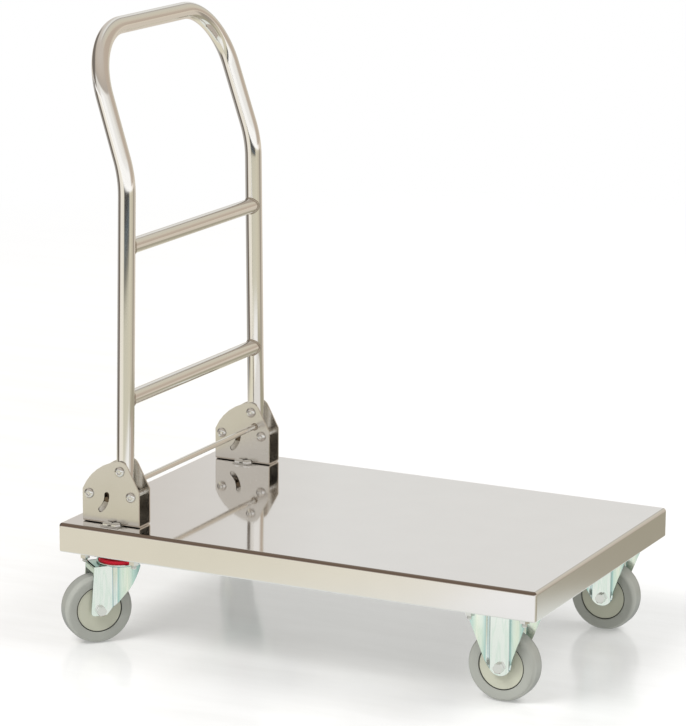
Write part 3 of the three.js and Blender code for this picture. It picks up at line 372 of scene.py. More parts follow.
def metal(name, colour, roughness, grain_stretch, grain_scale, grain_depth, wave_depth=0.0, wave_scale=9.0,
          shade=0.93, edge=None, upright_roughness=None, painted_reflections=None, painted_dark_fold=None):
    """Metal with a directional polishing grain, cloudy roughness and a faint waviness in its sheet;
    optionally painted reflections: bands and streaks across fork legs, a tint where it turns from the
    camera, and a dark near fold.
    """
    material = bpy.data.materials.new(name)
    tree = Tree(material)
    cloud = tree.noise(tree.place(), METAL_CLOUDS, CLOUD_DETAIL)
    grain = tree.noise(tree.place(grain_stretch), grain_scale, GRAIN_DETAIL, GRAIN_ROUGHNESS)
    tint = tree.mix(cloud, shaded(colour, shade), colour)
    # Painted reflections: highlight and dark bands across each leg, from each vertex's share of the fold,
    # with painted reflection streaks over them
    if painted_reflections:
        fold = tree.add("ShaderNodeAttribute", out=2, attribute_name="fold")
        streak = tree.noise(tree.place(STREAK_STRETCH), STREAK_SCALE, STREAK_DETAIL)
        for layer in (tree.ramp(fold, painted_reflections), tree.ramp(streak, PAINTED_REFLECTION_STREAKS)):
            tint = tree.mix(1.0, tint, layer, "MULTIPLY")
    # Painted reflection: a teal tint where the surface turns away from the camera
    if edge:
        slant = tree.add("ShaderNodeLayerWeight", {0: PAINTED_EDGE_BLEND}, out=1)
        tint = tree.mix(tree.spread(slant, 0, 1, *PAINTED_EDGE_SPAN), tint, edge)
    # Painted dark reflection on the rounded fold that faces up and towards the near side
    if painted_dark_fold:
        facing = tree.facing()
        slant = tree.times(facing[1], facing[2])
        tint = tree.mix(tree.spread(slant, 1, 0, *PAINTED_DARK_FOLD_SPAN), tint, painted_dark_fold)
    rough = tree.spread(cloud, roughness * (1 - CLOUD_IN_ROUGHNESS), roughness * (1 + CLOUD_IN_ROUGHNESS))
    if upright_roughness:
        level = tree.spread(tree.facing()[2], 0, 1, *LEVEL_SPAN)
        rough = tree.add("ShaderNodeMix", {0: level, 2: upright_roughness, 3: rough}, data_type="FLOAT")
    rough = tree.plus(rough, tree.spread(grain, *GRAIN_IN_ROUGHNESS))
    wave = tree.bump(tree.noise(tree.place(), wave_scale, WAVE_DETAIL), wave_depth)
    bump = tree.bump(grain, grain_depth, Normal=wave)
    tree.surface(tree.principled(Base_Color=tint, Metallic=1.0, Roughness=rough, Normal=bump))
    materials[name] = material


def moulded(name, colour, roughness, texture_scale, texture_depth, shade=0.9, specular=0.5, rim=1.0):
    """Rubber or plastic with a fine skin, slight clouding and painted shade: a darker rim where it turns
    away from the camera.
    """
    material = bpy.data.materials.new(name)
    tree = Tree(material)
    cloud = tree.noise(tree.place(), MOULDED_CLOUDS, CLOUD_DETAIL)
    tint = tree.mix(cloud, shaded(colour, shade), colour)
    # Painted shade: darker towards the outline, where the surface turns away from the camera
    slant = tree.add("ShaderNodeLayerWeight", {0: SHADE_RIM_BLEND}, out=1)
    tint = tree.mix(tree.spread(slant, 0, 1, *SHADE_RIM_SPAN), tint, shaded(colour, rim))
    rough = tree.spread(cloud, *(roughness * share for share in MOULDED_ROUGHNESS_SHARES))
    bump = tree.bump(tree.noise(tree.place(), texture_scale, SKIN_DETAIL), texture_depth)
    shader = tree.principled(Base_Color=tint, Roughness=rough, Normal=bump, Specular_IOR_Level=specular)
    tree.surface(shader)
    materials[name] = material


def make_materials():
    # Deck: painted dark reflection on its near fold
    metal("deck_sheet", linear(239, 237, 236), 0.05, (1, 14, 14), 60, 0.001 * MM, 0.22 * MM, shade=0.955,
          wave_scale=5, upright_roughness=0.18, painted_dark_fold=(0.24, 0.19, 0.155, 1))
    metal("satin_sheet", linear(222, 219, 213), 0.25, (30, 30, 2), 90, 0.005 * MM, 0.14 * MM, shade=0.9)
    metal("lever_sheet", linear(112, 98, 82), 0.4, (30, 30, 2), 90, 0.004 * MM)
    metal("channel_sheet", linear(175, 172, 164), 0.45, (20, 2, 20), 90, 0.006 * MM)
    metal("polished_tube", linear(240, 238, 234), 0.08, (40, 40, 2), 60, 0.002 * MM, shade=0.97)
    metal("weld_bead", linear(196, 186, 172), 0.3, (3, 3, 3), 300, 0.05 * MM, shade=0.7)
    # Zinc: painted teal reflection where it turns from the camera, and painted highlight and dark
    # reflection bands across its legs
    metal("zinc_steel", linear(247, 251, 247), 0.15, (3, 3, 3), 140, 0.004 * MM, 0.08 * MM,
          edge=linear(120, 170, 172), painted_reflections=ZINC_PAINTED_REFLECTIONS)
    metal("bolt_steel", linear(228, 227, 224), 0.15, (4, 4, 4), 200, 0.002 * MM)
    # Tyre: strong painted shade on its rim
    moulded("tyre_rubber", linear(177, 179, 171), 0.34, 900, 0.02 * MM, rim=0.3)
    moulded("hub_plastic", linear(206, 207, 188), 0.5, 1200, 0.01 * MM)
    # Painted shade for the groove between tyre and hub
    moulded("painted_groove_shade", linear(40, 40, 36), 0.6, 900, 0.01 * MM)
    moulded("seal_plastic", linear(255, 44, 68), 0.35, 900, 0.005 * MM, specular=0.25)


# Mesh building
def spaced(start, end, count):
    """Even values from start to end, both included."""
    return [start + (end - start) * k / count for k in range(count + 1)]


def round_angles(sides):
    return [2 * math.pi * k / sides for k in range(sides)]


def rising(values):
    """Values in rising order, each micron once."""
    return sorted({round(value, MICRON_DIGITS) for value in values})


def offset_by(origin, steps):
    """Points at steps from an origin. The steps are in millimetres."""
    return [(origin[0] + x * MM, origin[1] + y * MM) for x, y in steps]


def arc(centre, radius, start, end, steps=FILLET_STEPS):
    """Points of a round stretch, as (x, y)."""
    angles = spaced(start, end, steps)
    return [(centre[0] + radius * math.cos(a), centre[1] + radius * math.sin(a)) for a in angles]


def rounded_rectangle(length, width, radius):
    """Points of a level rectangle with round corners, as (x, y)."""
    points = []
    for i, (sx, sy) in enumerate(((1, 1), (-1, 1), (-1, -1), (1, -1))):
        middle = (sx * (length / 2 - radius), sy * (width / 2 - radius))
        points += arc(middle, radius, i * math.pi / 2, (i + 1) * math.pi / 2)
    return points


def seat(place, axis):
    """Where a body about Z goes when it stands at a place, along an axis."""
    return Matrix.Translation(place) @ Vector(axis).to_track_quat("Z", "Y").to_matrix().to_4x4()


def skin(build, rings, loop=False, caps=True):
    """Faces between rings of points. A ring of one point is a pole."""
    rows = [[build.verts.new(p) for p in ring] for ring in rings]
    pairs = list(zip(rows, rows[1:]))
    if loop:
        pairs.append((rows[-1], rows[0]))
    for low, high in pairs:
        count = max(len(low), len(high))
        for i in range(count):
            j = (i + 1) % count
            corners = (low[i % len(low)], low[j % len(low)], high[j % len(high)], high[i % len(high)])
            build.faces.new(list(dict.fromkeys(corners)))
    if caps and not loop:
        for row in (rows[0], rows[-1]):
            build.faces.new(row)


def merge(build, sub, where):
    """Copies one mesh under construction into another, and frees it."""
    copies = {v: build.verts.new(where @ v.co) for v in sub.verts}
    for face in sub.faces:
        build.faces.new([copies[v] for v in face.verts])
    sub.free()


def round_edges(build, edges, width):
    bmesh.ops.bevel(build, geom=edges, offset=width, segments=BEVEL_STEPS, affect="EDGES", profile=0.5,
                    clamp_overlap=True)


def slab(build, outline, low, high, where, bevel=SHEET_BEVEL):
    """A flat outline pushed up from low to high, with its two rims rounded."""
    sub = bmesh.new()
    skin(sub, [[(x, y, z) for x, y in outline] for z in (low, high)])
    round_edges(sub, [e for e in sub.edges if e.calc_face_angle(0) > SHARP_ANGLE], bevel)
    merge(build, sub, where)


def hex_reach(flats, angle):
    """From a hexagon's middle to its side, at an angle. A corner is at angle 0."""
    return flats / 2 / math.cos(angle % (math.pi / 3) - math.pi / 6)


def turned(build, profile, where, sides=ROUND_SIDES):
    """A round body about Z from (radius, z) or, cut to a hexagon, (radius, z, flats)."""
    angles = round_angles(sides)
    rings = []
    for radius, z, *flats in profile:
        if not radius:
            rings.append([where @ Vector((0, 0, z))])
            continue
        reach = [min(radius, hex_reach(flats[0], a)) if flats else radius for a in angles]
        rings.append([where @ Vector((r * math.cos(a), r * math.sin(a), z)) for r, a in zip(reach, angles)])
    skin(build, rings, loop=bool(profile[0][0]), caps=False)


def mirrored(profile):
    """The other half of a profile of (radius, y), from its last point back, with y turned round."""
    return [(radius, -y) for radius, y in reversed(profile)]


def hex_head(build, where, flats, foot, top, chamfer=HEAD_CHAMFER):
    """A hexagon head or nut, chamfered at its top, closed at both ends."""
    corner = flats / math.sqrt(3)
    turned(build, [
        (0, foot),
        (corner, foot, flats),
        (corner, top - chamfer, flats),
        (corner - chamfer, top - chamfer / 3, flats),
        (flats / 2 - chamfer / 2, top),
        (0, top),
    ], where)


def thread(radius, start, end):
    """Profile points of a thread's ridges from one height to another."""
    turns = max(int(abs(end - start) / PITCH), 1)
    step = (end - start) / turns
    points = []
    for k in range(turns):
        points.append((radius - THREAD_DEPTH, start + step * k))
        points.append((radius, start + step * (k + 0.5)))
    points.append((radius - THREAD_DEPTH, end))
    return points


def stud(build, where, radius, foot, start, tip):
    """A shank from its foot, threaded from start to its tip."""
    step = math.copysign(PITCH / 2, tip - start)
    turned(build, [
        (0, foot),
        (radius, foot),
        (radius, start),
        *thread(radius, start + step, tip - step),
        (radius - 2 * THREAD_DEPTH, tip),
        (0, tip),
    ], where)


def bent_path(corners):
    """Points along straight runs and round bends, from (corner, bend radius)."""
    stations = []
    for i, (point, radius) in enumerate(corners):
        if not radius:
            stations.append(point)
            continue
        into = (point - corners[i - 1][0]).normalized()
        out = (corners[i + 1][0] - point).normalized()
        turn = into.angle(out)
        inward = (out - into * math.cos(turn)).normalized()
        centre = point - into * radius * math.tan(turn / 2) + inward * radius
        for angle in spaced(0, turn, math.ceil(turn / BEND_STEP)):
            stations.append(centre + (into * math.sin(angle) - inward * math.cos(angle)) * radius)
    return stations


def along(stations, radius_at, sides=ROUND_SIDES):
    """Rings of a round section carried along stations without twisting."""
    ways = [(b - a).normalized() for a, b in zip(stations, stations[1:])]
    side = ways[0].orthogonal().normalized()
    angles = round_angles(sides)
    rings = []
    for i, place in enumerate(stations):
        way = (ways[max(i - 1, 0)] + ways[min(i, len(ways) - 1)]).normalized()
        side = (side - way * side.dot(way)).normalized()
        other = way.cross(side)
        radius = radius_at(i)
        rings.append([place + (side * math.cos(a) + other * math.sin(a)) * radius for a in angles])
    return rings


def pipe(build, stations, radius, wall):
    """An open tube along stations."""
    outer = along(stations, lambda i: radius)
    inner = along(stations, lambda i: radius - wall)
    skin(build, outer + inner[::-1], loop=True)


def piece(name, build, node, look=None):
    """Turns a mesh under construction into a piece that rides where a CAD node rides."""
    bmesh.ops.recalc_face_normals(build, faces=build.faces)
    for edge in build.edges:
        edge.smooth = len(edge.link_faces) != 2 or edge.calc_face_angle(0) < SHARP_ANGLE
    for face in build.faces:
        face.smooth = True
    mesh = bpy.data.meshes.new(name)
    build.to_mesh(mesh)
    build.free()
    obj = bpy.data.objects.new(name, mesh)
    bpy.context.scene.collection.objects.link(obj)
    obj.data.materials.append(materials[look or slot_of_node[node]])
    weight = obj.modifiers.new("weighted_normals", "WEIGHTED_NORMAL")
    weight.keep_sharp = True
    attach(obj, body_of_node[node])
    return obj


def dressed(node, build, look=None):
    """A piece that stands for a CAD node."""
    obj = piece(f"{node}_skin", build, node, look)
    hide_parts(node)


def softened(node, look=None):
    """A CAD node's own shape with its faces merged and its edges rounded."""
    build = bmesh.new()
    build.from_mesh(nodes[node].data)
    bmesh.ops.remove_doubles(build, verts=build.verts, dist=WELD)
    bmesh.ops.dissolve_limit(build, angle_limit=FLAT_ANGLE, verts=build.verts, edges=build.edges)
    sharp = [e for e in build.edges if len(e.link_faces) == 2 and e.calc_face_angle(0) > SHARP_ANGLE]
    round_edges(build, sharp, SHEET_BEVEL)
    dressed(node, build, look)


# Platform
def deck_tray():
    """The folded tray: inside from the top down to the lip, then outside from the lip back up."""
    def ring(inset, z):
        radius = max(CORNER_RADIUS - inset, LEAST_CORNER)
        outline = rounded_rectangle(DECK_LENGTH - 2 * inset, DECK_WIDTH - 2 * inset, radius)
        return [(x, y, z) for x, y in outline]

    mouth = DECK_SHEET + LIP_WIDTH
    fold_centre = (EDGE_RADIUS, DECK_TOP - EDGE_RADIUS)
    foot = arc((FOOT_RADIUS, DECK_BASE + FOOT_RADIUS), FOOT_RADIUS, -math.pi / 2, -math.pi)
    fold = arc(fold_centre, EDGE_RADIUS, math.pi, math.pi / 2)
    inner_fold = arc(fold_centre, EDGE_RADIUS - DECK_SHEET, math.pi / 2, math.pi)
    inside = [*inner_fold, (DECK_SHEET, DECK_BASE + DECK_SHEET), (mouth, DECK_BASE + DECK_SHEET)]
    outside = [(mouth, DECK_BASE), *foot, *fold]
    build = bmesh.new()
    skin(build, [ring(inset, z) for inset, z in inside + outside])
    dressed("deck_tray", build)


# Handle
def stile_y(rise):
    """How far out a stile stands, at a height over the pivot."""
    return STILE_Y - TOP_INSET * rise / TOP_RISE


def handle_point(back, side, rise):
    """A point on a stile's middle line, counted from the pivot."""
    pivot = joints["handle_fold"]["pos_m"]
    return Vector((pivot[0] - back, side * stile_y(rise), pivot[2] + rise))


def handle_tube():
    near_half = [
        (handle_point(0, -1, -TAIL_LENGTH), 0),
        (handle_point(0, -1, LEAN_SHARE * TOP_RISE), LEAN_BEND_RADIUS),
        (handle_point(LEAN_BACK, -1, TOP_RISE), CORNER_BEND_RADIUS),
    ]
    far_half = [(Vector((p.x, -p.y, p.z)), radius) for p, radius in reversed(near_half)]
    build = bmesh.new()
    pipe(build, bent_path(near_half + far_half), TUBE_RADIUS, TUBE_WALL)
    dressed("handle_tube", build)


def bead(name, node, place, tube_radius, stile_radius, side, thickness):
    """A weld bead round the end of a tube along Y, on an upright tube or on a flat plate (radius 0)."""
    stations, swell = [], []
    for angle in round_angles(BEAD_STEPS):
        x = tube_radius * math.cos(angle)
        dip = math.sqrt(stile_radius ** 2 - x * x) if stile_radius else 0
        stations.append(place + Vector((x, -side * dip, tube_radius * math.sin(angle))))
        swell.append(thickness + BEAD_RIPPLE * abs(math.sin(BEAD_RIPPLES * angle / 2)))
    rings = along(stations + stations[:1], lambda i: swell[i % BEAD_STEPS], BEAD_SIDES)
    build = bmesh.new()
    skin(build, rings[:-1], loop=True)
    piece(name, build, node, "weld_bead")


def rungs():
    for name, share in RUNG_SHARES.items():
        rise = share * TOP_RISE
        reach = stile_y(rise) - TUBE_RADIUS / 2
        ends = [handle_point(0, side, rise) for side in (-1, 1)]
        for end in ends:
            end.y = math.copysign(reach, end.y)
        build = bmesh.new()
        pipe(build, ends, RUNG_RADIUS, RUNG_WALL)
        dressed(name, build)
        for side_name, side in SIDES.items():
            place = handle_point(0, side, rise)
            bead(f"weld_{name}_{side_name}", name, place, RUNG_RADIUS, TUBE_RADIUS, side, RUNG_BEAD)


def tie_rod():
    low, high = (Vector(c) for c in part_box("tie_rod"))
    middle = (low + high) / 2
    build = bmesh.new()
    turned(build, [(0, low.y), (TIE_RADIUS, low.y), (TIE_RADIUS, high.y), (0, high.y)],
           seat(Vector((middle.x, 0, middle.z)), (0, 1, 0)))
    dressed("tie_rod", build)
    for side_name, side in SIDES.items():
        place = Vector((middle.x, side * (high.y - TIE_BEAD / 2), middle.z))
        bead(f"weld_tie_rod_{side_name}", "tie_rod", place, TIE_RADIUS, 0, side, TIE_BEAD)


# Hinge
def hinge_pin(node):
    """A barrel bolt: the same domed head with a hexagon socket at both ends."""
    low, high = (Vector(c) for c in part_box(node))
    middle = (low + high) / 2
    half = (high.y - low.y) / 2
    foot = half - HINGE_HEAD_HEIGHT
    shank = [(0, -FIT), (HINGE_BOLT_RADIUS, -FIT), (HINGE_BOLT_RADIUS, foot)]
    brim = [(HINGE_HEAD_RADIUS - HINGE_HEAD_EASE, foot), (HINGE_HEAD_RADIUS, foot + HINGE_HEAD_EASE)]
    rise = HINGE_HEAD_HEIGHT - HINGE_BRIM
    dome = [(HINGE_HEAD_RADIUS * math.cos(a), foot + HINGE_BRIM + rise * math.sin(a))
            for a in spaced(0, DOME_TURN, DOME_STEPS)]
    socket = [
        (SOCKET_FLATS * SOCKET_MOUTH_SHARE, half),
        (SOCKET_FLATS, half - SOCKET_CHAMFER, SOCKET_FLATS),
        (SOCKET_FLATS, half - SOCKET_DEPTH, SOCKET_FLATS),
        (0, half - SOCKET_DEPTH - SOCKET_POINT),
    ]
    build = bmesh.new()
    for way in (-1, 1):
        turned(build, [*shank, *brim, *dome, *socket], seat(middle, (0, way, 0)))
    dressed(node, build)


def deck_bolt(node):
    low, high = (Vector(c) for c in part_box(node))
    where = seat(Vector(((low.x + high.x) / 2, (low.y + high.y) / 2, 0)), (0, 0, 1))
    head_foot = high.z - DECK_HEAD_HEIGHT
    nut_top = DECK_TOP - DECK_SHEET - FIT
    nut_foot = nut_top - DECK_NUT_HEIGHT
    build = bmesh.new()
    hex_head(build, where, HEX_FLATS, head_foot, high.z)
    hex_head(build, where, HEX_FLATS, nut_top, nut_foot)
    stud(build, where, DECK_BOLT_RADIUS, head_foot + DECK_SHANK_SUNK, nut_foot + FIT, low.z)
    dressed(node, build)


# Wheels: profiles of (radius, y) about the axle, from the middle of the wheel to its side and mirrored
def wheel(name):
    spin = joints[f"wheel_spin_{name}"]
    where = seat(spin["pos_m"], spin["axis"])
    groove = HUB_RADIUS + GROOVE_WIDTH * GROOVE_OUTER_SHARE
    rim = groove - GROOVE_WIDTH
    face = HUB_WIDTH / 2
    tyre(name, where, groove, face + FLANK_RECESS)
    hub(name, where, rim, face)
    # Painted shade: a dark ring sunk in the groove between tyre and hub, where the gap lies in shade
    joint = bmesh.new()
    for way in (-1, 1):
        low, high = sorted((way * (face - GROOVE_SHADE_TOP), way * (face - GROOVE_SHADE_FOOT)))
        inner, outer = rim - GROOVE_SHADE_OVERLAP, groove + GROOVE_SHADE_OVERLAP
        turned(joint, [(inner, low), (outer, low), (outer, high), (inner, high)], where, WHEEL_SIDES)
    piece(f"wheel_groove_shade_{name}", joint, f"tyre_{name}", "painted_groove_shade")


def tyre(name, where, groove, flank):
    half = TYRE_WIDTH / 2
    tread = TREAD_WIDTH / 2
    corner = WHEEL_RADIUS - SHOULDER_DROP
    shoulder = [(corner + SHOULDER_DROP * math.cos(a), tread + (half - tread) * math.sin(a))
                for a in spaced(0, math.pi / 2, FILLET_STEPS)]
    wall = (corner - WALL_DROP, half - WALL_DRAFT)
    lip = offset_by((groove, flank), TYRE_LIP)
    profile = [*shoulder, wall, *lip, (groove, flank - GROOVE_DEPTH), (HUB_RADIUS, 0)]
    build = bmesh.new()
    turned(build, profile + mirrored(profile[:-1]), where, WHEEL_SIDES)
    dressed(f"tyre_{name}", build)


def hub(name, where, rim, face):
    profile = [
        (HUB_RADIUS - FIT, 0),
        (rim, face - GROOVE_DEPTH),
        *offset_by((rim, face), HUB_RIM),
        *offset_by((BOSS_RADIUS, face), BOSS_FOOT),
        *offset_by((BOSS_RADIUS, BOSS_REACH), BOSS_END),
        (HUB_BORE, BOSS_REACH),
    ]
    build = bmesh.new()
    turned(build, profile + mirrored(profile[1:]), where, WHEEL_SIDES)
    dressed(f"hub_{name}", build)


def axle(name):
    spin = joints[f"wheel_spin_{name}"]
    where = seat(spin["pos_m"], spin["axis"])
    outer = LEG_INNER + LEG_SHEET + FIT
    bolt = bmesh.new()
    hex_head(bolt, where, HEX_FLATS, -outer, -outer - AXLE_HEAD_HEIGHT)
    stud(bolt, where, AXLE_RADIUS, -outer - AXLE_SHANK_SUNK, outer, outer + AXLE_END)
    dressed(f"axle_bolt_{name}", bolt)
    nut = bmesh.new()
    hex_head(nut, where, HEX_FLATS, outer, outer + AXLE_NUT_HEIGHT, AXLE_NUT_CHAMFER)
    dressed(f"axle_nut_{name}", nut)


# Forks: legs are sections of pressed sheet, carried along the fork
def wing_out(distance, joggle, flare):
    """How far a wing stands out of its leg's middle panel."""
    if distance <= 0:
        return 0
    stepped = min(distance / joggle, 1)
    return JOGGLE_DEPTH * (1 - math.cos(math.pi * stepped)) / 2 + flare * distance


def share_of_fold(x, bend, joggle, edge):
    """0 on the flat panel, 0.5 where the pressed step ends, 1 at the wing's edge."""
    step = min(max((x - bend) / joggle, 0), 1)
    wing = min(max((x - bend - joggle) / (edge - bend - joggle), 0), 1)
    return (step + wing) / 2


def height_at(line, x):
    """Height of a line of (x, z) points, given in rising x, at one x."""
    for (x0, z0), (x1, z1) in zip(line, line[1:]):
        if x <= x1:
            return z0 + (z1 - z0) * max(x - x0, 0) / max(x1 - x0, WELD)
    return line[-1][1]


def leg(build, where, side, stops, out_at, low_line, high_line, fold_at):
    """One leg: at each stop along x, a thin section from the lower to the upper line."""
    fold = build.verts.layers.float.get("fold") or build.verts.layers.float.new("fold")
    first = len(build.verts)
    ease = LEG_EASE_SHARE
    rings = []
    for x in stops:
        slope = (out_at(x + SLOPE_STEP) - out_at(x - SLOPE_STEP)) / (2 * SLOPE_STEP)
        across = Vector((-slope, 1)).normalized()
        out = LEG_INNER + LEG_SHEET / 2 + out_at(x)
        low = height_at(low_line, x)
        high = max(height_at(high_line, x), low + 3 * LEG_NIP)
        ring = []
        for away, z in ((-1, low + LEG_NIP), (-ease, low), (ease, low), (1, low + LEG_NIP),
                        (1, high - LEG_NIP), (ease, high), (-ease, high), (-1, high - LEG_NIP)):
            push = across * away * LEG_SHEET / 2
            ring.append(where @ Vector((x + push.x, side * (out + push.y), z)))
        rings.append(ring)
    skin(build, rings)
    build.verts.ensure_lookup_table()
    for i, x in enumerate(x for x, ring in zip(stops, rings) for _ in ring):
        build.verts[first + i][fold] = fold_at(x)


def rigid_fork(name):
    """Fork under a fixed plate: two legs that narrow to a round eye at the axle."""
    spin = joints[f"wheel_spin_{name}"]
    where = Matrix.Translation((*spin["pos_m"][:2], 0))
    eye = WHEEL_RADIUS + EYE_RISE
    top = PLATE_FOOT + PLATE_SHEET / 2
    reach = Vector((RIGID_EDGE, top - eye))
    touch = math.atan2(reach.y, reach.x) - math.acos(EYE_RADIUS / reach.length)
    bottom = arc((0, eye), EYE_RADIUS, -math.pi - touch, touch, EYE_STEPS)
    low_line = [(-RIGID_EDGE, top - FIT), *bottom, (RIGID_EDGE, top - FIT)]
    high_line = [(-RIGID_EDGE, top), (RIGID_EDGE, top)]
    half = rising([
        *spaced(0, bottom[-1][0], PANEL_STEPS),
        *(x for x, z in bottom if x > 0),
        *spaced(RIGID_PANEL, RIGID_PANEL + RIGID_JOGGLE, JOGGLE_STEPS),
        *spaced(RIGID_PANEL + RIGID_JOGGLE, RIGID_EDGE, RIGID_WING_STEPS),
    ])
    stops = [-x for x in half[:0:-1]] + half

    def out_at(x):
        return wing_out(abs(x) - RIGID_PANEL, RIGID_JOGGLE, RIGID_FLARE)

    def fold_at(x):
        return share_of_fold(abs(x), RIGID_PANEL, RIGID_JOGGLE, RIGID_EDGE)

    build = bmesh.new()
    for side in SIDES.values():
        leg(build, where, side, stops, out_at, low_line, high_line, fold_at)
    top_plate(build, where)
    dressed(f"rigid_fork_{name}", build)
    plate_bolts(name, where, f"rigid_fork_{name}")


def top_plate(build, where):
    outline = rounded_rectangle(PLATE_LENGTH, PLATE_WIDTH, PLATE_CORNER)
    slab(build, outline, PLATE_FOOT, PLATE_TOP, where)


def plate_bolts(name, where, node):
    """Four bolts through the castor's top plate, with their nuts under it."""
    build = bmesh.new()
    for i in (-1, 1):
        for j in (-1, 1):
            spot = where @ Matrix.Translation((i * BOLT_SPACING_LONG / 2, j * BOLT_SPACING_CROSS / 2, 0))
            hex_head(build, spot, HEX_FLATS, PLATE_HEAD_FOOT, PLATE_HEAD_TOP)
            hex_head(build, spot, HEX_FLATS, PLATE_FOOT, PLATE_FOOT - PLATE_NUT_HEIGHT, NUT_CHAMFER)
            stud(build, spot, PLATE_BOLT_RADIUS, PLATE_SHANK_TOP, PLATE_FOOT - PLATE_THREAD_START,
                 PLATE_FOOT - PLATE_BOLT_END)
    piece(f"plate_bolts_{name}", build, node, "bolt_steel")


def castor_plate(name, where):
    """The swivel castor's plate, with the dish that holds the upper race."""
    build = bmesh.new()
    top_plate(build, where)
    bowl = offset_by((0, CROWN_TOP + DISH_RISE), DISH_BOWL)
    turned(build, bowl + offset_by((0, PLATE_FOOT), DISH_BRIM), where)
    dressed(f"castor_plate_{name}", build)
    plate_bolts(name, where, f"castor_plate_{name}")


def seal_ring(name, where):
    foot = CROWN_TOP + FIT
    top = foot + SEAL_HEIGHT
    inset = SEAL_RADIUS - SEAL_FILLET
    lip = arc((inset, foot + SEAL_FILLET), SEAL_FILLET, -math.pi / 2, 0)
    waist = (SEAL_RADIUS - SEAL_WAIST, foot + SEAL_HEIGHT / 2)
    brow = arc((inset, top - SEAL_FILLET), SEAL_FILLET, 0, math.pi / 2)
    build = bmesh.new()
    turned(build, [(SEAL_BORE, foot), *lip, waist, *brow, (SEAL_BORE, top)], where, WHEEL_SIDES)
    dressed(f"seal_ring_{name}", build)


def kingpin(name, where):
    build = bmesh.new()
    turned(build, [
        (0, KINGPIN_FOOT),
        (KINGPIN_RADIUS, KINGPIN_FOOT),
        (KINGPIN_RADIUS, KINGPIN_NECK),
        (KINGPIN_HEAD_RADIUS, KINGPIN_TOP),
        (0, KINGPIN_TOP),
    ], where)
    nut_top = KINGPIN_FOOT + KINGPIN_NUT_HEIGHT
    hex_head(build, where, KINGPIN_NUT_FLATS, nut_top, KINGPIN_FOOT, NUT_CHAMFER)
    dressed(f"kingpin_{name}", build)


def swivel_fork(name, where):
    """Fork that trails its swivel axis: two legs, a crown with a raised land, and a front lip."""
    axle_x = -SWIVEL_TRAIL
    sole = WHEEL_RADIUS - SOLE_DROP
    front, crown_front, back = axle_x + TOE_REACH, axle_x + CROWN_REACH, axle_x + BACK_REACH
    bend = axle_x + SWIVEL_BEND
    heel = Vector((axle_x + HEEL_REACH, sole))
    knee = Vector((axle_x + KNEE[0], WHEEL_RADIUS + KNEE[1]))
    bow = Vector((axle_x + BOW[0], WHEEL_RADIUS + BOW[1]))
    end = Vector((back, CROWN_FOOT))
    toe = arc((front + FIT + TOE_RADIUS, sole + TOE_RADIUS), TOE_RADIUS, -math.pi, -math.pi / 2)
    rise = math.atan2(knee.y - heel.y, knee.x - heel.x)
    pull = TOE_RADIUS * math.tan(rise / 2)
    ankle = arc((heel.x - pull, sole + TOE_RADIUS), TOE_RADIUS, -math.pi / 2, rise - math.pi / 2)
    curve = [knee * (1 - t) ** 2 + bow * 2 * t * (1 - t) + end * t * t for t in spaced(0, 1, CURVE_STEPS)]
    low_line = [*toe, *ankle, *((p.x, p.y) for p in curve)]
    high_line = [(front, sole + TOE_RISE), (crown_front, CROWN_TOP), (back, CROWN_TOP)]
    places = [
        *spaced(toe[0][0], crown_front, TOE_STEPS),
        *(x for x, z in low_line),
        *spaced(crown_front, bend, SOLE_STEPS),
        *spaced(bend, bend + SWIVEL_JOGGLE, JOGGLE_STEPS),
        *spaced(bend + SWIVEL_JOGGLE, back, SWIVEL_WING_STEPS),
    ]
    stops = rising(x for x in places if x <= back)

    def out_at(x):
        return wing_out(x - bend, SWIVEL_JOGGLE, SWIVEL_FLARE)

    def fold_at(x):
        return share_of_fold(x, bend, SWIVEL_JOGGLE, back)

    build = bmesh.new()
    for side in SIDES.values():
        leg(build, where, side, stops, out_at, low_line, high_line, fold_at)
    crown_places = [crown_front, *spaced(bend, back, CROWN_STEPS)]
    rim = [(x, LEG_INNER + LEG_SHEET * CROWN_EDGE_SHARE + out_at(x)) for x in crown_places]
    fillet_centre = (back - CROWN_FILLET, rim[-1][1] - CROWN_FILLET)
    rim = [p for p in rim if p[0] < fillet_centre[0]] + arc(fillet_centre, CROWN_FILLET, math.pi / 2, 0)
    outline = [(x, -y) for x, y in rim] + rim[::-1]
    slab(build, outline, CROWN_FOOT, CROWN_TOP, where, CROWN_BEVEL)
    turned(build, offset_by((0, CROWN_FOOT + FIT), LAND_FOOT) + offset_by((0, CROWN_TOP), LAND), where)
    half = LEG_INNER + LEG_SHEET / 2
    lip_back = crown_front + LEG_SHEET
    lip = [(crown_front, -half), (lip_back, -half), (lip_back, half), (crown_front, half)]
    slab(build, lip, CROWN_TOP - LIP_DROP, CROWN_TOP, where, LIP_BEVEL)
    dressed(f"swivel_fork_{name}", build)


def castors():
    for side_name in SIDES:
        name = f"rear_{side_name}"
        pivot = joints[f"swivel_turn_{side_name}"]["pos_m"]
        way = joints[f"wheel_spin_{name}"]["axis"]
        still = Matrix.Translation((*pivot[:2], 0))
        headed = still @ Matrix.Rotation(math.atan2(-way[0], way[1]), 4, "Z")
        castor_plate(name, still)
        kingpin(name, still)
        seal_ring(name, still)
        swivel_fork(name, headed)
        rigid_fork(f"front_{side_name}")
        for end in ("rear", "front"):
            wheel(f"{end}_{side_name}")
            axle(f"{end}_{side_name}")


HINGE_PINS = ("pivot_bolt", "latch_bolt", "stop_bolt")
SOFTENED = ("castor_channel", "middle_stiffener", "hinge_bracket", "stop_sleeve", "axle_sleeve")


def small_parts():
    """The bolts and sheet parts of the hinge, the sleeves, and what is welded under the deck."""
    for node in nodes:
        if node.startswith(HINGE_PINS):
            hinge_pin(node)
        elif node.startswith("deck_bolt"):
            deck_bolt(node)
        elif node.startswith("latch_lever"):
            softened(node, "lever_sheet")
        elif node.startswith(SOFTENED):
            softened(node)


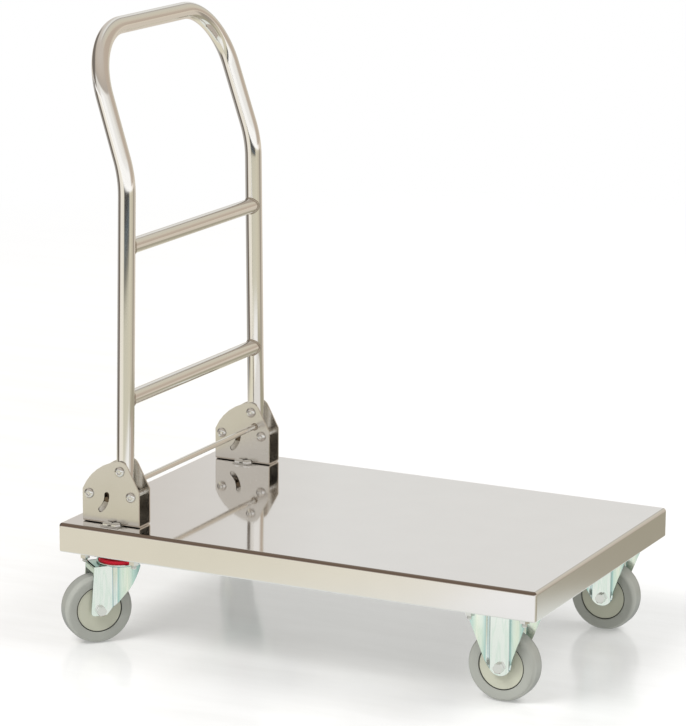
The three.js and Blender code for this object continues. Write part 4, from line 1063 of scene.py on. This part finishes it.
# Surroundings that polished metal sees over the horizon, by the way it looks: stops of (place, colour)
BEHIND = (
    (0.2, (0.6, 0.56, 0.52)), (0.26, (0.62, 0.59, 0.55)), (0.285, (0.73, 0.727, 0.705)),
    (0.38, (0.74, 0.735, 0.71)), (0.41, (0.55, 0.52, 0.48)), (0.44, (0.3, 0.28, 0.26)),
    (0.47, (0.56, 0.53, 0.47)), (0.6, (0.6, 0.57, 0.48)), (0.7, (0.6, 0.54, 0.45)),
    (0.74, (0.5, 0.42, 0.35)), (1.0, (0.5, 0.43, 0.36)),
)
FRONT = (
    (0.0, 1.0), (0.13, 1.0), (0.2, 0.87), (0.31, (0.86, 0.85, 0.82)), (0.38, (0.44, 0.4, 0.36)),
    (0.5, (0.47, 0.42, 0.37)), (0.65, (0.52, 0.46, 0.4)), (0.9, (0.56, 0.51, 0.46)),
)
FRONT_LEFT, FRONT_LEFT_SPAN = (0.74, 0.72, 0.69, 1), (-0.3, -0.05)
BEHIND_SPAN = (-0.1, 0.3)
FLAG, FLAG_SPAN = (0.18, 0.16, 0.14, 1), (-0.8, -0.68)
FLAG_HEIGHTS = ((0.0, 0.0), (0.05, 1.0), (0.5, 1.0), (0.65, 0.0))
GLOSSY_STRENGTH, SKY_STRENGTH = 1.1, 0.5
WHITE = (1, 1, 1, 1)

# Cards that polished metal sees on the floor, in rings round the trolley
NEAR_RING, MIDDLE_RING, STREAK_RING, FAR_RING = (0.57, 0.66), (1.2, 1.5), (2.95, 3.6), (7.0, 9.0)
UNDER_CARD = (0.84, 0.87, 0.83, 1)
NEAR_CARD = ((0.05, (0.8, 0.76, 0.62)), (0.45, (0.43, 0.4, 0.31)), (0.65, (0.41, 0.38, 0.3)),
             (0.9, (0.4, 0.37, 0.28)))
NEAR_CARD_REACH = 1.6
PALE_CARD = ((0.15, (0.8, 0.76, 0.62)), (0.35, (0.88, 0.84, 0.71)), (0.5, (0.9, 0.87, 0.78)), (0.58, 1.0))
PALE_CARD_HALF = 0.5
PALE_CARD_SPAN = (-0.6, -0.3)
STRIPES = (
    (0.0, 0.39), (0.018, (0.3, 0.26, 0.22)), (0.03, (0.16, 0.13, 0.11)), (0.07, (0.15, 0.13, 0.1)),
    (0.085, (0.42, 0.38, 0.34)), (0.105, (0.93, 0.89, 0.82)), (0.21, (0.9, 0.86, 0.76)),
    (0.235, (0.66, 0.64, 0.53)), (0.45, (0.7, 0.66, 0.53)), (0.556, (0.6, 0.55, 0.44)),
    (0.6, (0.38, 0.34, 0.29)), (0.645, (0.36, 0.32, 0.27)), (0.668, (0.68, 0.61, 0.52)),
    (0.9, (0.7, 0.64, 0.56)), (0.955, 0.39), (1.0, 0.39),
)
STREAK_TURN = ((0.215, 0.0), (0.25, 1.0), (0.39, 1.0), (0.44, 0.0))
STREAK_DARK, STREAK_BLUE = (0.07, 0.065, 0.06, 1), (0.14, 0.18, 0.21, 1)
BLUE_START, BLUE_END = (3.7, 3.9), (4.2, 4.4)
BEYOND = (
    (0.0, 0.39), (0.02, (0.16, 0.13, 0.11)), (0.04, 0.2), (0.06, 1.0), (0.5, 1.0),
    (0.56, (0.88, 0.82, 0.77)), (0.62, (0.6, 0.54, 0.47)), (0.68, (0.62, 0.55, 0.45)),
    (0.95, (0.66, 0.6, 0.52)), (1.0, 0.39),
)

# Floor
FLOOR_SIZE = 60.0
VEIN_STRETCH, VEIN_SCALE, VEIN_DETAIL, VEIN_ROUGHNESS = (1.4, 7.0, 1.0), 2.4, 5.0, 0.62
VEINS = ((0.35, (0.745, 0.742, 0.732)), (0.6, (0.785, 0.783, 0.777)))
FLOOR_ROUGHNESS = 0.17
GLOW, GLOW_RING = (0.21, 0.38), (0.6, 2.4)
PAPER_RING = (1.6, 3.6)
MIRROR_STRENGTH, MIRROR_RING = (1.0, 1.16), (5.0, 8.0)

# Lamps: place, size and power
LAMPS = {"key": ((-1.2, -2.6, 3.4), 2.4, 118), "fill": ((2.8, 1.0, 3.0), 2.6, 72)}
LAMP_AIM = Vector((0, 0, 0.2))


def studio():
    """White studio: even light for dull surfaces, soft boxes with dark gaps for polished metal."""
    world = bpy.data.worlds.new("studio")
    bpy.context.scene.world = world
    tree = Tree(world)
    across, ahead, height = tree.parts(tree.add("ShaderNodeTexCoord"))
    behind = tree.ramp(tree.spread(across, 0, 1, -1, 1), BEHIND)
    front = tree.ramp(height, FRONT)
    front = tree.mix(tree.spread(across, 1, 0, *FRONT_LEFT_SPAN), front, FRONT_LEFT, "DARKEN")
    room = tree.mix(tree.spread(ahead, 0, 1, *BEHIND_SPAN), front, behind)
    flag = tree.times(tree.ramp(height, FLAG_HEIGHTS), tree.spread(across, 1, 0, *FLAG_SPAN))
    room = tree.mix(flag, room, FLAG)
    glossy = tree.add("ShaderNodeBackground", {0: room, 1: GLOSSY_STRENGTH})
    sky = tree.add("ShaderNodeBackground", {0: WHITE, 1: SKY_STRENGTH})
    seen = tree.add("ShaderNodeBackground", {0: WHITE, 1: 1.0})
    path = tree.add("ShaderNodeLightPath", out=None)
    light = tree.switch(path.outputs["Is Glossy Ray"], sky, glossy)
    tree.surface(tree.switch(path.outputs["Is Camera Ray"], light, seen), "ShaderNodeOutputWorld")


def floor_cards(tree):
    """Colour of the floor in polished metal: pale close by, striped further out, with a dark streak."""
    x, y = tree.parts(tree.place())[:2]
    distance = tree.distance()
    turn = tree.add("ShaderNodeTexGradient", {0: tree.place()}, out=1, gradient_type="RADIAL")
    near = tree.ramp(tree.spread(tree.plus(x, y), 0, 1, 0, NEAR_CARD_REACH), NEAR_CARD)
    pale = tree.ramp(tree.spread(x, 0, 1, -PALE_CARD_HALF, PALE_CARD_HALF), PALE_CARD)
    near = tree.mix(tree.spread(y, 1, 0, *PALE_CARD_SPAN), near, pale)
    blue = tree.times(tree.spread(distance, 0, 1, *BLUE_START), tree.spread(distance, 1, 0, *BLUE_END))
    dark = tree.mix(blue, STREAK_DARK, STREAK_BLUE)
    streak = tree.times(tree.ramp(turn, STREAK_TURN), tree.spread(distance, 0, 1, *STREAK_RING))
    seen = tree.mix(tree.spread(distance, 0, 1, *NEAR_RING), UNDER_CARD, near)
    seen = tree.mix(tree.spread(distance, 0, 1, *MIDDLE_RING), seen, tree.ramp(turn, STRIPES))
    seen = tree.mix(streak, seen, dark)
    return tree.mix(tree.spread(distance, 0, 1, *FAR_RING), seen, tree.ramp(turn, BEYOND))


def floor():
    """A glossy white board that turns into plain white paper further out."""
    mesh = bpy.data.meshes.new("floor")
    half = FLOOR_SIZE / 2
    corners = [(-half, -half, 0), (half, -half, 0), (half, half, 0), (-half, half, 0)]
    mesh.from_pydata(corners, [], [(0, 1, 2, 3)])
    obj = bpy.data.objects.new("floor", mesh)
    bpy.context.scene.collection.objects.link(obj)
    material = bpy.data.materials.new("floor")
    tree = Tree(material)
    distance = tree.distance()
    cloud = tree.noise(tree.place(VEIN_STRETCH), VEIN_SCALE, VEIN_DETAIL, VEIN_ROUGHNESS)
    veins = tree.ramp(cloud, VEINS)
    board = tree.principled(Base_Color=veins, Roughness=FLOOR_ROUGHNESS, Specular_IOR_Level=1.0)
    glow = tree.add("ShaderNodeEmission", {0: WHITE, 1: tree.spread(distance, *GLOW, *GLOW_RING)})
    lit = tree.add("ShaderNodeAddShader", {0: board, 1: glow})
    paper = tree.add("ShaderNodeEmission", {0: WHITE, 1: 1.0})
    lit = tree.switch(tree.spread(distance, 0, 1, *PAPER_RING), lit, paper)
    strength = tree.spread(distance, *MIRROR_STRENGTH, *MIRROR_RING)
    mirror = tree.add("ShaderNodeEmission", {0: floor_cards(tree), 1: strength})
    path = tree.add("ShaderNodeLightPath", out=None)
    tree.surface(tree.switch(path.outputs["Is Glossy Ray"], lit, mirror))
    obj.data.materials.append(material)


def lights():
    for name, (place, size, power) in LAMPS.items():
        data = bpy.data.lights.new(name, "AREA")
        data.shape = "DISK"
        data.size = size
        data.energy = power
        obj = bpy.data.objects.new(name, data)
        obj.location = place
        obj.rotation_mode = "QUATERNION"
        obj.rotation_quaternion = (LAMP_AIM - Vector(place)).to_track_quat("-Z", "Y")
        obj.visible_glossy = False
        bpy.context.scene.collection.objects.link(obj)


make_materials()
camera()
studio()
floor()
lights()
deck_tray()
handle_tube()
rungs()
tie_rod()
castors()
small_parts()

bpy.context.scene.view_settings.view_transform = "Standard"
